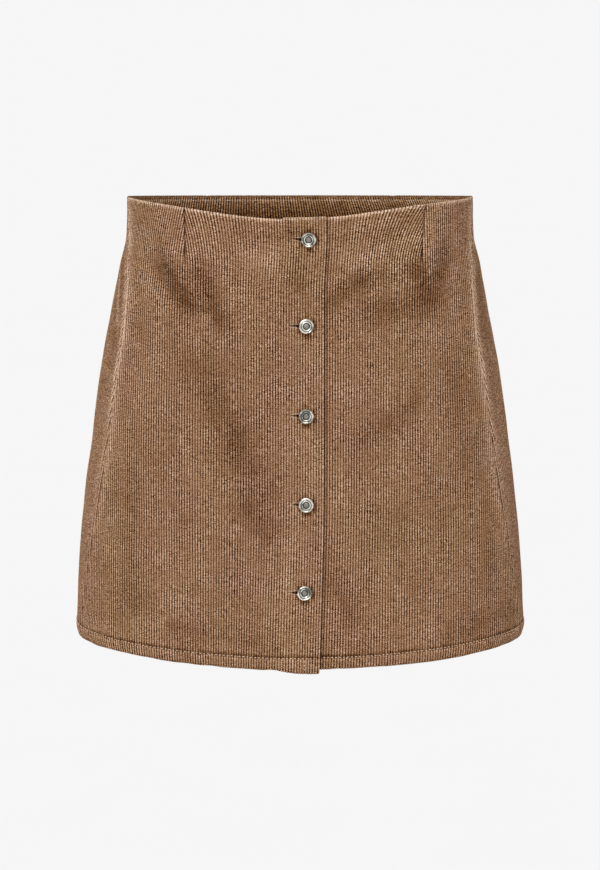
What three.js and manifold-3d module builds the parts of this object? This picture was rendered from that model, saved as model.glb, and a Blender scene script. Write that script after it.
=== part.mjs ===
// Button-front A-line mini skirt in corduroy, filled out and hollow, as the waist of its wearer holds it.
// Millimetres, +Z up. The origin is the centre of the waist opening at the height of its two side points,
// the front faces -Y and +X is to the right for someone who looks at the front.
//
// Every cloth piece is a closed wall on one shared form. A spot on the form is given by two measures:
//   around  distance along the horizontal ring from the centre front, plus towards the wearer's left
//   drop    distance below the side points of the waist
import * as THREE from 'three';
import { mergeVertices } from 'three/addons/utils/BufferGeometryUtils.js';
import Module from 'manifold-3d';

const wasm = await Module();
wasm.setup();

// ---------------------------------------------------------------- driving dimensions

const clothThickness = 1.6;
const foldedThickness = 2.9; // two layers pressed together, in the plackets and the hem
const seamGap = 0.3;

// Rings of the form. Each is a superellipse of the given exponent, with its own depth before and behind.
const rings = [
  { drop: -6, halfWidth: 149.4, frontDepth: 78.6, backDepth: 78.4, squareness: 2.0 },
  { drop: 34, halfWidth: 150.9, frontDepth: 81.5, backDepth: 83.0, squareness: 2.1 },
  { drop: 60, halfWidth: 156.6, frontDepth: 85.0, backDepth: 89.0, squareness: 2.2 },
  { drop: 100, halfWidth: 164.6, frontDepth: 89.5, backDepth: 97.0, squareness: 2.35 },
  { drop: 153, halfWidth: 174.4, frontDepth: 93.0, backDepth: 102.0, squareness: 2.5 },
  { drop: 206, halfWidth: 182.2, frontDepth: 95.0, backDepth: 102.0, squareness: 2.6 },
  { drop: 260, halfWidth: 189.0, frontDepth: 96.0, backDepth: 100.5, squareness: 2.6 },
  { drop: 314, halfWidth: 194.0, frontDepth: 97.0, backDepth: 99.0, squareness: 2.6 },
  { drop: 376, halfWidth: 197.8, frontDepth: 98.0, backDepth: 98.5, squareness: 2.6 },
  { drop: 410, halfWidth: 199.0, frontDepth: 98.5, backDepth: 99.0, squareness: 2.6 },
];

// The side seams, as the distance around from the centre front.
const sideSeam = [
  { drop: -6, around: 176.5 },
  { drop: 40, around: 171.0 },
  { drop: 78, around: 163.5 },
  { drop: 105, around: 163.5 },
  { drop: 150, around: 169.0 },
  { drop: 210, around: 177.0 },
  { drop: 260, around: 186.0 },
  { drop: 314, around: 198.0 },
  { drop: 376, around: 213.0 },
  { drop: 410, around: 219.0 },
];

// Waist edge and hem, as drops, by how far out towards the side a spot lies.
const waistDipFront = 11.3;
const waistDipBack = 7.6;
const waistSway = 1.0; // the wearer's right side of the front waist edge sits this much lower
const hemDropAtSide = 385.0;
const hemDipFront = 14.8;
const hemDipBack = 13.0;
const hemCurve = 1.75;
const hemFold = 11.0;
const hemBulge = 0.7; // the folded hem stands out this far
const hemRoll = 2.6; // and its lower edge turns in this far

// Overlap of the two fronts. The edge of the upper front, as distances around by drop.
const overlapEdge = [
  { drop: -6, around: 21.6 },
  { drop: 30, around: 22.2 },
  { drop: 75, around: 20.2 },
  { drop: 240, around: 20.2 },
  { drop: 410, around: 16.6 },
];
const placketWidth = 38.0;
const placketLift = 1.4; // the upper front stands out this far over the overlap
const placketRamp = 24.0;
const placketHang = 3.0; // the upper placket hangs this much below the hem line
const layerGap = 0.3;

const facingDepth = 22.0;
const facingStart = 1.2; // below the waist edge

// Darts, by panel: how far from the panel's centre line the seam lies at the waist and at its tip.
const dartGroove = 1.1;
const dartGrooveWidth = 3.0;
const darts = [
  { panel: 'front_right', top: -101.9, tip: -99.8, length: 47 },
  { panel: 'front_left', top: 111.2, tip: 105.4, length: 47 },
  { panel: 'back', top: 84.0, tip: 90.0, length: 85 },
  { panel: 'back', top: -84.0, tip: -90.0, length: 85 },
];

// The largest folds: soft ridges (height above 0) and troughs (below 0) between two spots, each given
// as its distance from the centre line, plus towards the wearer's left, and its drop.
const frontFolds = [
  { name: 'right dart bulge', from: [-106, 50], to: [-110, 78], width: 20, height: 2.6 },
  { name: 'left dart bulge', from: [110, 52], to: [116, 76], width: 18, height: 2.6 },
  { name: 'right hip trough', from: [-132, 52], to: [-88, 93], width: 11, height: -1.8 },
  { name: 'left hip trough', from: [92, 84], to: [130, 88], width: 10, height: -1.6 },
  { name: 'right thigh valley', from: [-98, 135], to: [-22, 280], width: 18, height: -2.0 },
  { name: 'left thigh valley', from: [122, 244], to: [36, 355], width: 20, height: -1.8 },
  { name: 'left lap trough', from: [30, 92], to: [70, 60], width: 9, height: -1.2 },
  { name: 'left lap hollow', from: [62, 165], to: [64, 215], width: 16, height: -1.2 },
];
const backFolds = [
  { name: 'right dart bulge', from: [-92, 96], to: [-96, 126], width: 24, height: 2.4 },
  { name: 'left dart bulge', from: [92, 96], to: [96, 126], width: 24, height: 2.4 },
  { name: 'right seat valley', from: [-150, 150], to: [-60, 290], width: 22, height: -2.0 },
  { name: 'left seat valley', from: [140, 170], to: [70, 330], width: 22, height: -1.8 },
  { name: 'waist hollow', from: [-30, 52], to: [34, 48], width: 16, height: -1.4 },
];

// Tack buttons and their buttonholes. The buttons sit on the overlap, this far in from its edge.
const buttonInset = 14.8;
const firstButtonDrop = 28.7;
const secondButtonDrop = 101.6;
const buttonPitch = 76.6;
const buttonCount = 5;
const buttonRadius = 6.6;
const shankRadius = 2.2;
const nailRadius = 0.9;
const tackRadius = 4.6;
const tackThickness = 1.0;
const buttonholeReach = 16.5; // from the middle of the shank towards the side of the garment
const buttonholeWidth = 1.2;
const eyeletRadius = 2.7;

const corduroyColour = '#8b684d';
const facingColour = '#7d5c43';
const buttonColour = '#b9b6ae';
const tackColour = '#8f8c86';

// How finely the walls are divided. Rows and columns stand at set distances from a panel's edges, and
// evenly between them.
const waistRows = [0, facingStart, facingDepth / 2, facingDepth];
const facingLastRow = waistRows.length - 1;
const hemRows = [0, 4, hemFold - 2, hemFold, hemFold + 2.5];
const overlapColumns = [0, 1.5, placketWidth / 2, placketWidth - 1.5, placketWidth, placketWidth + 1.5];
const pastOverlap = overlapColumns.length - 1;
const frontColumns = 16;
const backColumns = 32;
const panelRows = 15; // alike on all panels, so that they meet row by row at the side seams
const meanFrontWidth = 190;
const buttonSegments = 20;
const tackSegments = 12;
const ringSamples = 72;

// ---------------------------------------------------------------- the form

const clamp01 = (x) => Math.min(1, Math.max(0, x));
const smooth = (x) => clamp01(x) ** 2 * (3 - 2 * clamp01(x));
const mix = (a, b, share) => a + (b - a) * share;

// A smooth curve through the rows of a table, with no overshoot between them.
function along(table, column, drop) {
  const last = table.length - 2;
  const slope = (i) => (table[i + 1][column] - table[i][column]) / (table[i + 1].drop - table[i].drop);
  const tangent = (i) => {
    if (i === 0) return slope(0);
    if (i === last + 1) return slope(last);
    const before = slope(i - 1);
    const after = slope(i);
    return before * after > 0 ? (2 * before * after) / (before + after) : 0;
  };
  let i = 0;
  while (i < last && drop > table[i + 1].drop) i += 1;
  const step = table[i + 1].drop - table[i].drop;
  const t = clamp01((drop - table[i].drop) / step);
  const from = table[i][column];
  const to = table[i + 1][column];
  return (
    (2 * t ** 3 - 3 * t ** 2 + 1) * from +
    (t ** 3 - 2 * t ** 2 + t) * step * tangent(i) +
    (3 * t ** 2 - 2 * t ** 3) * to +
    (t ** 3 - t ** 2) * step * tangent(i + 1)
  );
}

// One quarter of a ring, from its middle to the side, as points with their distance from the middle.
function quarterRing(drop, depthColumn) {
  const halfWidth = along(rings, 'halfWidth', drop);
  const depth = along(rings, depthColumn, drop);
  const power = 2 / along(rings, 'squareness', drop);
  const points = [];
  let run = 0;
  for (let i = 0; i <= ringSamples; i += 1) {
    const angle = (Math.PI / 2) * (i / ringSamples);
    const x = halfWidth * Math.sin(angle) ** power;
    const y = i === ringSamples ? 0 : depth * Math.cos(angle) ** power;
    if (i > 0) run += Math.hypot(x - points[i - 1].x, y - points[i - 1].y);
    points.push({ x, y, run });
  }
  return points;
}

function pointAtRun(points, run) {
  let i = 0;
  while (i < points.length - 2 && points[i + 1].run < run) i += 1;
  const share = (run - points[i].run) / (points[i + 1].run - points[i].run);
  return {
    x: mix(points[i].x, points[i + 1].x, share),
    y: mix(points[i].y, points[i + 1].y, share),
  };
}

const ringCache = new Map();
function ringAt(drop) {
  const key = drop.toFixed(3);
  if (!ringCache.has(key)) {
    const front = quarterRing(drop, 'frontDepth');
    const back = quarterRing(drop, 'backDepth');
    ringCache.set(key, { front, back, frontRun: front.at(-1).run, backRun: back.at(-1).run });
  }
  return ringCache.get(key);
}

// Distance around from the centre front to the centre back.
const halfGirth = (drop) => ringAt(drop).frontRun + ringAt(drop).backRun;

// The same distance around, brought to between minus and plus the half girth.
const unwound = (around, drop) => (around > halfGirth(drop) ? around - 2 * halfGirth(drop) : around);

function formPoint(around, drop) {
  const ring = ringAt(drop);
  const near = unwound(around, drop);
  const side = Math.sign(near) || 1;
  const run = Math.abs(near);
  const behind = run > ring.frontRun;
  const spot = behind
    ? pointAtRun(ring.back, halfGirth(drop) - run)
    : pointAtRun(ring.front, run);
  return new THREE.Vector3(side * spot.x, behind ? spot.y : -spot.y, -drop);
}

const probe = 1.0; // mm, half the span over which the slope of the form is taken
function formFrame(around, drop) {
  const across = formPoint(around + probe, drop).sub(formPoint(around - probe, drop)).normalize();
  const down = formPoint(around, drop + probe).sub(formPoint(around, drop - probe)).normalize();
  const out = new THREE.Vector3().crossVectors(down, across).normalize();
  return { across, down, out };
}

// How far out towards the side a spot lies: 0 at the centre, 1 at the side.
const sideShare = (around, drop) =>
  clamp01(Math.abs(formPoint(around, drop).x) / along(rings, 'halfWidth', drop));

const isBehind = (around, drop) => Math.abs(unwound(around, drop)) > ringAt(drop).frontRun;

function waistDrop(around) {
  const share = sideShare(around, 0);
  if (isBehind(around, 0)) return waistDipBack * Math.sqrt(1 - share ** 2);
  const dip = waistDipFront * Math.cos((Math.PI / 2) * share) ** 2;
  return dip - Math.sign(around) * waistSway * Math.sin(Math.PI * share);
}

function hemDrop(around) {
  const share = sideShare(around, hemDropAtSide);
  const dip = isBehind(around, hemDropAtSide) ? hemDipBack : hemDipFront;
  return hemDropAtSide + dip * (1 - share ** hemCurve);
}

// Distance from a spot to the straight line between two others.
function lineDistance([around, drop], from, to) {
  const run = [to[0] - from[0], to[1] - from[1]];
  const reach = (around - from[0]) * run[0] + (drop - from[1]) * run[1];
  const share = clamp01(reach / (run[0] ** 2 + run[1] ** 2));
  return Math.hypot(around - from[0] - share * run[0], drop - from[1] - share * run[1]);
}

// Distance from the centre line of the front, or of the back for the back panel.
function fromCentreLine(panel, around, drop) {
  const near = unwound(around, drop);
  return panel === 'back' ? (Math.sign(near) || 1) * (halfGirth(drop) - Math.abs(near)) : near;
}

const softLine = (spot, from, to, width) => Math.exp(-((lineDistance(spot, from, to) / width) ** 2));

function foldRise(panel, around, drop) {
  const spot = [fromCentreLine(panel, around, drop), drop];
  const rise = (fold) => fold.height * softLine(spot, fold.from, fold.to, fold.width);
  return (panel === 'back' ? backFolds : frontFolds).reduce((sum, fold) => sum + rise(fold), 0);
}

function dartRise(panel, around, drop) {
  const spot = [fromCentreLine(panel, around, drop), drop];
  const start = waistDrop(around);
  const rise = ({ top, tip, length }) =>
    -dartGroove * softLine(spot, [top, start], [tip, start + length], dartGrooveWidth);
  return darts.filter((dart) => dart.panel === panel).reduce((sum, dart) => sum + rise(dart), 0);
}

const edgeAround = (drop) => along(overlapEdge, 'around', drop);
const seamAround = (drop) => along(sideSeam, 'around', drop);

// How far a panel's outer face stands off the form, before its hem.
function layerRise(panel, around, drop) {
  if (panel === 'front_right') {
    const ramp = (around - (edgeAround(drop) - placketWidth - placketRamp)) / placketRamp;
    return placketLift * smooth(ramp);
  }
  if (panel === 'front_left') {
    const ramp = (edgeAround(drop) + 1 + placketRamp - around) / placketRamp;
    return (placketLift - foldedThickness - layerGap) * smooth(ramp);
  }
  return 0;
}

function hemLine(panel, around) {
  const edge = edgeAround(hemDropAtSide);
  const hang = panel === 'front_right' ? placketHang * smooth((around - edge + placketWidth + 8) / 30) : 0;
  return hemDrop(around) + hang;
}

// The folded hem stands out a little, and its lower edge rolls in.
function hemRise(panel, around, drop) {
  const above = hemDrop(around) - drop;
  const band = hemBulge * smooth((hemFold + 2 - above) / 3);
  return band - hemRoll * clamp01(1 - (hemLine(panel, around) - drop) / hemFold) ** 2;
}

function outerRise(panel, around, drop) {
  const seams = dartRise(panel, around, drop) + hemRise(panel, around, drop);
  return layerRise(panel, around, drop) + foldRise(panel, around, drop) + seams;
}

function thickness(panel, around, drop) {
  const above = hemLine(panel, around) - drop;
  const edge = edgeAround(drop);
  let folded = smooth((hemFold - above) / 1.5);
  if (panel === 'front_right') folded = Math.max(folded, smooth((around - edge + placketWidth) / 1.5));
  if (panel === 'front_left') folded = Math.max(folded, smooth((edge - around) / 1.5));
  return mix(clothThickness, foldedThickness, folded);
}

function lifted(around, drop, rise) {
  return formPoint(around, drop).addScaledVector(formFrame(around, drop).out, rise);
}

// ---------------------------------------------------------------- closed walls

// A closed wall between an outer and an inner grid of points, both given row by row from the top.
function wallGeometry(outer, inner) {
  const rows = outer.length;
  const columns = outer[0].length;
  const positions = [...outer.flat(), ...inner.flat()].flatMap((point) => point.toArray());
  const out = (row, column) => row * columns + column;
  const within = (row, column) => rows * columns + row * columns + column;
  const faces = [];
  const quad = (a, b, c, d) => faces.push(a, b, c, a, c, d);
  for (let row = 0; row < rows - 1; row += 1) {
    for (let column = 0; column < columns - 1; column += 1) {
      quad(out(row, column), out(row + 1, column), out(row + 1, column + 1), out(row, column + 1));
      quad(within(row, column), within(row, column + 1), within(row + 1, column + 1), within(row + 1, column));
    }
    quad(out(row, 0), within(row, 0), within(row + 1, 0), out(row + 1, 0));
    const end = columns - 1;
    quad(out(row, end), out(row + 1, end), within(row + 1, end), within(row, end));
  }
  for (let column = 0; column < columns - 1; column += 1) {
    quad(out(0, column), out(0, column + 1), within(0, column + 1), within(0, column));
    const foot = rows - 1;
    quad(out(foot, column), within(foot, column), within(foot, column + 1), out(foot, column + 1));
  }
  const geometry = new THREE.BufferGeometry();
  geometry.setAttribute('position', new THREE.Float32BufferAttribute(positions, 3));
  geometry.setIndex(faces);
  return geometry;
}

// Shares from 0 to 1 for rows: a few set distances from each end, in mm, and even steps between them.
function spaced(length, fromStart, fromEnd, count) {
  const start = fromStart.map((distance) => distance / length);
  const end = fromEnd.map((distance) => 1 - distance / length).reverse();
  const first = start.at(-1);
  const last = end[0];
  const between = Array.from({ length: count - 1 }, (_, i) => mix(first, last, (i + 1) / count));
  return [...start, ...between, ...end];
}

// The spots of a panel's grid, from one boundary around the body to another, each given by drop.
function panelSpots(panel, startAround, endAround, columnShares, rowShares) {
  const spot = (rowShare, columnShare) => {
    const meanDrop = mix(0, hemDropAtSide, rowShare);
    const guess = unwound(mix(startAround(meanDrop), endAround(meanDrop), columnShare), meanDrop);
    const drop = mix(waistDrop(guess), hemLine(panel, guess), rowShare);
    return { around: mix(startAround(drop), endAround(drop), columnShare), drop };
  };
  return rowShares.map((rowShare) => columnShares.map((columnShare) => spot(rowShare, columnShare)));
}

// A wall that starts a given depth under the panel's outer face and is as thick as asked at each spot.
function layerGeometry(panel, spots, depthAt, thicknessAt) {
  const grid = (extra) =>
    spots.map((row) =>
      row.map(({ around, drop }) => {
        const rise = outerRise(panel, around, drop) - depthAt(around, drop) - extra(around, drop);
        return lifted(around, drop, rise);
      }),
    );
  return wallGeometry(grid(() => 0), grid(thicknessAt));
}

function panelGeometry(panel, spots) {
  return layerGeometry(
    panel,
    spots,
    () => 0,
    (around, drop) => thickness(panel, around, drop),
  );
}

// A facing lies against the inside of its panel, made from the same spots, just below the waist edge.
function facingGeometry(panel, spots, firstColumn, lastColumn) {
  const covered = spots.slice(1, facingLastRow + 1).map((row) => row.slice(firstColumn, lastColumn + 1));
  return layerGeometry(
    panel,
    covered,
    (around, drop) => thickness(panel, around, drop) + seamGap,
    () => clothThickness,
  );
}

// ---------------------------------------------------------------- joins and cuts

function solidOf(geometry) {
  const bare = geometry.clone();
  bare.deleteAttribute('normal');
  bare.deleteAttribute('uv');
  const merged = mergeVertices(bare, 1e-4);
  return new wasm.Manifold(
    new wasm.Mesh({
      numProp: 3,
      vertProperties: new Float32Array(merged.getAttribute('position').array),
      triVerts: new Uint32Array(merged.getIndex().array),
    }),
  );
}

function geometryOf(solid) {
  const mesh = solid.getMesh();
  const geometry = new THREE.BufferGeometry();
  geometry.setAttribute('position', new THREE.Float32BufferAttribute(mesh.vertProperties, 3));
  geometry.setIndex([...mesh.triVerts]);
  return geometry;
}

const cutAll = (geometry, tools) =>
  geometryOf(tools.reduce((solid, tool) => solid.subtract(solidOf(tool)), solidOf(geometry)));

// ---------------------------------------------------------------- buttons

const buttonDrops = Array.from({ length: buttonCount }, (_, i) =>
  i === 0 ? firstButtonDrop : secondButtonDrop + (i - 1) * buttonPitch,
);

// A frame standing on the upper face of the overlap: X along the row, Y up the skirt, Z out of it.
function overlapFrame(drop) {
  const around = edgeAround(drop) - buttonInset;
  const { across, down, out } = formFrame(around, drop);
  const basis = new THREE.Matrix4().makeBasis(across, down.clone().negate(), out);
  return basis.setPosition(lifted(around, drop, outerRise('front_right', around, drop)));
}

// A keyhole buttonhole: a narrow slot that ends in a round eyelet about the shank.
function buttonholeCutter(drop) {
  const half = buttonholeWidth / 2;
  const meet = Math.asin(half / eyeletRadius);
  const shape = new THREE.Shape();
  shape.moveTo(-buttonholeReach, -half);
  shape.lineTo(-eyeletRadius * Math.cos(meet), -half);
  shape.absarc(0, 0, eyeletRadius, Math.PI + meet, 3 * Math.PI - meet, false);
  shape.lineTo(-buttonholeReach, half);
  shape.closePath();
  const depth = foldedThickness * 3;
  const cutter = new THREE.ExtrudeGeometry(shape, { depth, bevelEnabled: false, curveSegments: 12 });
  cutter.translate(0, 0, 1.5 - depth / 2 - foldedThickness / 2);
  return cutter.applyMatrix4(overlapFrame(drop));
}

function nailCutter(drop) {
  const cutter = new THREE.CylinderGeometry(nailRadius + seamGap, nailRadius + seamGap, 12, tackSegments);
  cutter.rotateX(Math.PI / 2);
  cutter.translate(0, 0, -foldedThickness * 1.5);
  return cutter.applyMatrix4(overlapFrame(drop));
}

const standTop = -(foldedThickness + layerGap); // outer face of the lower stand, from the upper face

function latheAbout(profile, segments) {
  const points = profile.map(([radius, height]) => new THREE.Vector2(radius, height));
  return new THREE.LatheGeometry(points, segments).rotateX(Math.PI / 2);
}

// The cap has a domed rim, a groove and a sunk middle. Its shank passes the buttonhole's eyelet.
function buttonGeometry() {
  const under = 0.45;
  return latheAbout(
    [
      [0, standTop + seamGap],
      [shankRadius, standTop + seamGap],
      [shankRadius, under],
      [buttonRadius - 0.7, under],
      [buttonRadius, under + 0.7],
      [buttonRadius - 0.35, under + 1.6],
      [buttonRadius - 1.2, under + 2.1],
      [buttonRadius - 2.2, under + 1.75],
      [buttonRadius - 2.6, under + 1.35],
      [buttonRadius - 3.1, under + 1.5],
      [0, under + 1.2],
    ],
    buttonSegments,
  );
}

// The tack behind: a round plate inside the stand, with a nail that ends just under the shank.
function tackGeometry() {
  const plateTop = standTop - foldedThickness - seamGap;
  return latheAbout(
    [
      [0, plateTop - tackThickness],
      [tackRadius - 0.6, plateTop - tackThickness],
      [tackRadius, plateTop - tackThickness * 0.4],
      [tackRadius - 0.2, plateTop],
      [nailRadius, plateTop],
      [nailRadius, standTop],
      [0, standTop],
    ],
    tackSegments,
  );
}

// ---------------------------------------------------------------- the garment

const garment = new THREE.Group();

function add(name, geometry, material, matrix) {
  const mesh = new THREE.Mesh(geometry, material);
  mesh.name = name;
  if (matrix) matrix.decompose(mesh.position, mesh.quaternion, mesh.scale);
  garment.add(mesh);
}

const fabric = (color) => new THREE.MeshStandardMaterial({ color, roughness: 0.95, metalness: 0 });
const metal = (color, roughness) => new THREE.MeshStandardMaterial({ color, roughness, metalness: 1 });

const rowShares = spaced(hemDropAtSide, waistRows, hemRows, panelRows);
const frontShares = spaced(meanFrontWidth, overlapColumns, [0], frontColumns);
const backShares = spaced(2 * meanFrontWidth, [0], [0], backColumns);
const lastFrontColumn = frontShares.length - 1;
const lastBackColumn = backShares.length - 1;

const rightSeam = (drop) => -seamAround(drop) + seamGap / 2;
const leftSeam = (drop) => seamAround(drop) - seamGap / 2;
const lowerEdge = (drop) => edgeAround(drop) - placketWidth;
const backStart = (drop) => seamAround(drop) + seamGap / 2;
const backEnd = (drop) => 2 * halfGirth(drop) - seamAround(drop) - seamGap / 2;

const fromSeam = frontShares.map((share) => 1 - share).reverse();
const rightSpots = panelSpots('front_right', rightSeam, edgeAround, fromSeam, rowShares);
const leftSpots = panelSpots('front_left', lowerEdge, leftSeam, frontShares, rowShares);
const backSpots = panelSpots('back', backStart, backEnd, backShares, rowShares);

const rightPanel = cutAll(panelGeometry('front_right', rightSpots), buttonDrops.map(buttonholeCutter));
const leftPanel = cutAll(panelGeometry('front_left', leftSpots), buttonDrops.map(nailCutter));
add('front_right', rightPanel, fabric(corduroyColour));
add('front_left', leftPanel, fabric(corduroyColour));
add('back', panelGeometry('back', backSpots), fabric(corduroyColour));

const rightFacing = facingGeometry('front_right', rightSpots, 0, lastFrontColumn - pastOverlap);
const leftFacing = facingGeometry('front_left', leftSpots, pastOverlap, lastFrontColumn);
add('facing_front_right', rightFacing, fabric(facingColour));
add('facing_front_left', leftFacing, fabric(facingColour));
add('facing_back', facingGeometry('back', backSpots, 0, lastBackColumn), fabric(facingColour));

buttonDrops.forEach((drop, i) => {
  add(`button_${i + 1}`, buttonGeometry(), metal(buttonColour, 0.35), overlapFrame(drop));
  add(`tack_${i + 1}`, tackGeometry(), metal(tackColour, 0.45), overlapFrame(drop));
});

export default garment;
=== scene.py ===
"""Looks of a short A-line corduroy skirt with a button front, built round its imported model.

Sizes of the cut and the form are in millimetres, as a pattern maker writes them, and a mesh is turned
into metres when it is made. A spot on the form is given by two measures:
    offset  distance round the body from the centre front line, or from the centre back line for the
            back panel, plus towards the wearer's left
    drop    distance below the side points of the waist
A thread of the cloth keeps one number all along its wale: u, its distance from the panel's centre
line in the flat cut. The darts and the sloping side seams take cloth away between the threads.
"""

import math

import bmesh
import bpy
import numpy as np
from bpy.props import FloatProperty, FloatVectorProperty, IntProperty, PointerProperty
from bpy.types import Operator, Panel, PropertyGroup
from mathutils import Matrix, Vector


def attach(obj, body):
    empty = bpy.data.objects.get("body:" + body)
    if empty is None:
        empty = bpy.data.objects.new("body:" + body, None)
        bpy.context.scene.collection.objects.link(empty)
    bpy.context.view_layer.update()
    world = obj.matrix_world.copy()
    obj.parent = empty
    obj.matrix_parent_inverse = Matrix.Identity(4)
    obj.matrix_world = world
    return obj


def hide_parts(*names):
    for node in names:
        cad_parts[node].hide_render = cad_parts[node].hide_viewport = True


bl_info = {
    "name": "Corduroy Skirt",
    "version": (1, 0, 0),
    "blender": (4, 5, 0),
    "location": "View3D > Sidebar > Skirt",
    "description": "Builds the ribbed cloth, seams, stitches and buttons of a corduroy skirt",
    "category": "Object",
}

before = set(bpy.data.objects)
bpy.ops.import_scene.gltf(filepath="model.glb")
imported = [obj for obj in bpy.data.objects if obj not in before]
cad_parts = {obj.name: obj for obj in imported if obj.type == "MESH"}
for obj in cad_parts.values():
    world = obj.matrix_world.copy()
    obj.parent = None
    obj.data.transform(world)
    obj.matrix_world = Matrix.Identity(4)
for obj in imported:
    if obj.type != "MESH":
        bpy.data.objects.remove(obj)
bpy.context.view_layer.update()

MM = 0.001
BODY = "root"

# ---------------------------------------------------------------- sizes of the form, in mm

CLOTH = 1.6
FOLDED = 2.9  # two layers pressed together, in the plackets and the hem
SEAM_GAP = 0.3
LAYER_GAP = 0.3

RINGS = {  # superellipses, each with its own depth before and behind
    "drop": (-6, 34, 60, 100, 153, 206, 260, 314, 376, 410),
    "half_width": (149.4, 150.9, 156.6, 164.6, 174.4, 182.2, 189.0, 194.0, 197.8, 199.0),
    "front_depth": (78.6, 81.5, 85.0, 89.5, 93.0, 95.0, 96.0, 97.0, 98.0, 98.5),
    "back_depth": (78.4, 83.0, 89.0, 97.0, 102.0, 102.0, 100.5, 99.0, 98.5, 99.0),
    "squareness": (2.0, 2.1, 2.2, 2.35, 2.5, 2.6, 2.6, 2.6, 2.6, 2.6),
}
SIDE_SEAM = {  # from the centre front
    "drop": (-6, 40, 78, 105, 150, 210, 260, 314, 376, 410),
    "offset": (176.5, 171.0, 163.5, 163.5, 169.0, 177.0, 186.0, 198.0, 213.0, 219.0),
}
OVERLAP_EDGE = {  # the free edge of the upper front
    "drop": (-6, 30, 75, 240, 410),
    "offset": (21.6, 22.2, 20.2, 20.2, 16.6),
}
EDGE_THREAD = 20.2  # the thread of the cut that the free edge follows
PLACKET = 38.0
PLACKET_LIFT = 1.4
PLACKET_RAMP = 24.0
PLACKET_HANG = 3.0

WAIST_DIP = {"front": 11.3, "back": 7.6}
WAIST_SWAY = 1.0
HEM_DROP = 385.0
HEM_DIP = {"front": 14.8, "back": 13.0}
HEM_CURVE = 1.75
HEM_FOLD = 11.0
HEM_BULGE = 0.7
HEM_ROLL = 2.6
FACING_START = 1.2
FACING_DEPTH = 22.0

# Darts: how far from the centre line the seam lies at the waist and at its tip, and the cloth taken
# from its side towards the centre line (inner) and from its other side (outer).
DARTS = {
    "front_right": [{"top": -101.9, "tip": -99.8, "length": 47, "inner": 10, "outer": 9}],
    "front_left": [{"top": 111.2, "tip": 105.4, "length": 47, "inner": 17, "outer": 5}],
    "back": [
        {"top": 84.0, "tip": 90.0, "length": 85, "inner": 9, "outer": 9},
        {"top": -84.0, "tip": -90.0, "length": 85, "inner": 9, "outer": 9},
    ],
}
FACING_LEAN = 0.0034  # how far the wales of a facing fan out, per mm down it and per mm from its middle
FACING_SKEW = 0.16

# Soft lines, one a row: the spot where it starts and the one where it ends, as offset and drop, its
# width and its strength.
# Folds: the strength is the height of a ridge (above 0) or a trough (below 0).
FRONT_FOLDS = [
    ((-106, 50), (-110, 78), 20, 2.6),
    ((110, 52), (116, 76), 18, 2.6),
    ((-132, 52), (-88, 93), 11, -1.8),
    ((92, 84), (130, 88), 10, -1.6),
    ((-98, 135), (-22, 280), 18, -2.0),
    ((122, 244), (36, 355), 20, -1.8),
    ((30, 92), (70, 60), 9, -1.2),
    ((62, 165), (64, 215), 16, -1.2),
]
BACK_FOLDS = [
    ((-92, 96), (-96, 126), 24, 2.4),
    ((92, 96), (96, 126), 24, 2.4),
    ((-150, 150), (-60, 290), 22, -2.0),
    ((140, 170), (70, 330), 22, -1.8),
    ((-30, 52), (34, 48), 16, -1.4),
]
# Creases: the smaller marks that handling leaves, on top of the folds.
FRONT_CREASES = [
    ((24, 30), (88, 25), 2.4, -0.5),
    ((-27, 26.5), (-2, 26.4), 2.2, -0.6),
    ((-85, 56), (-72, 78), 6, -0.8),
    ((-128, 60), (-104, 92), 5, -0.7),
    ((60, 95), (88, 78), 6, -0.7),
    ((104, 74), (116, 92), 5, -0.7),
    ((-106, 374), (-22, 371), 7, -0.6),
    ((144, 362), (172, 355), 6, -0.6),
    ((-206, 357), (-186, 361), 3, -0.9),
    ((-60, 118), (-34, 150), 9, -0.6),
    ((38, 128), (84, 118), 9, -0.6),
    ((-140, 262), (-110, 330), 13, -0.8),
    ((94, 196), (128, 160), 12, -0.7),
    ((-20, 44), (-4, 66), 7, -0.5),
    ((26, 44), (40, 62), 7, -0.6),
]
BACK_CREASES = [
    ((-96, 98), (-70, 122), 6, -0.8),
    ((98, 100), (74, 126), 6, -0.7),
    ((-84, 27), (-20, 26), 2.4, -0.5),
    ((14, 26), (82, 27), 2.4, -0.5),
    ((-44, 150), (10, 176), 11, -0.8),
    ((-30, 228), (-64, 262), 12, -0.7),
    ((30, 262), (84, 240), 12, -0.7),
    ((120, 352), (176, 362), 7, -0.6),
    ((-200, 360), (-130, 356), 7, -0.6),
]

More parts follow.
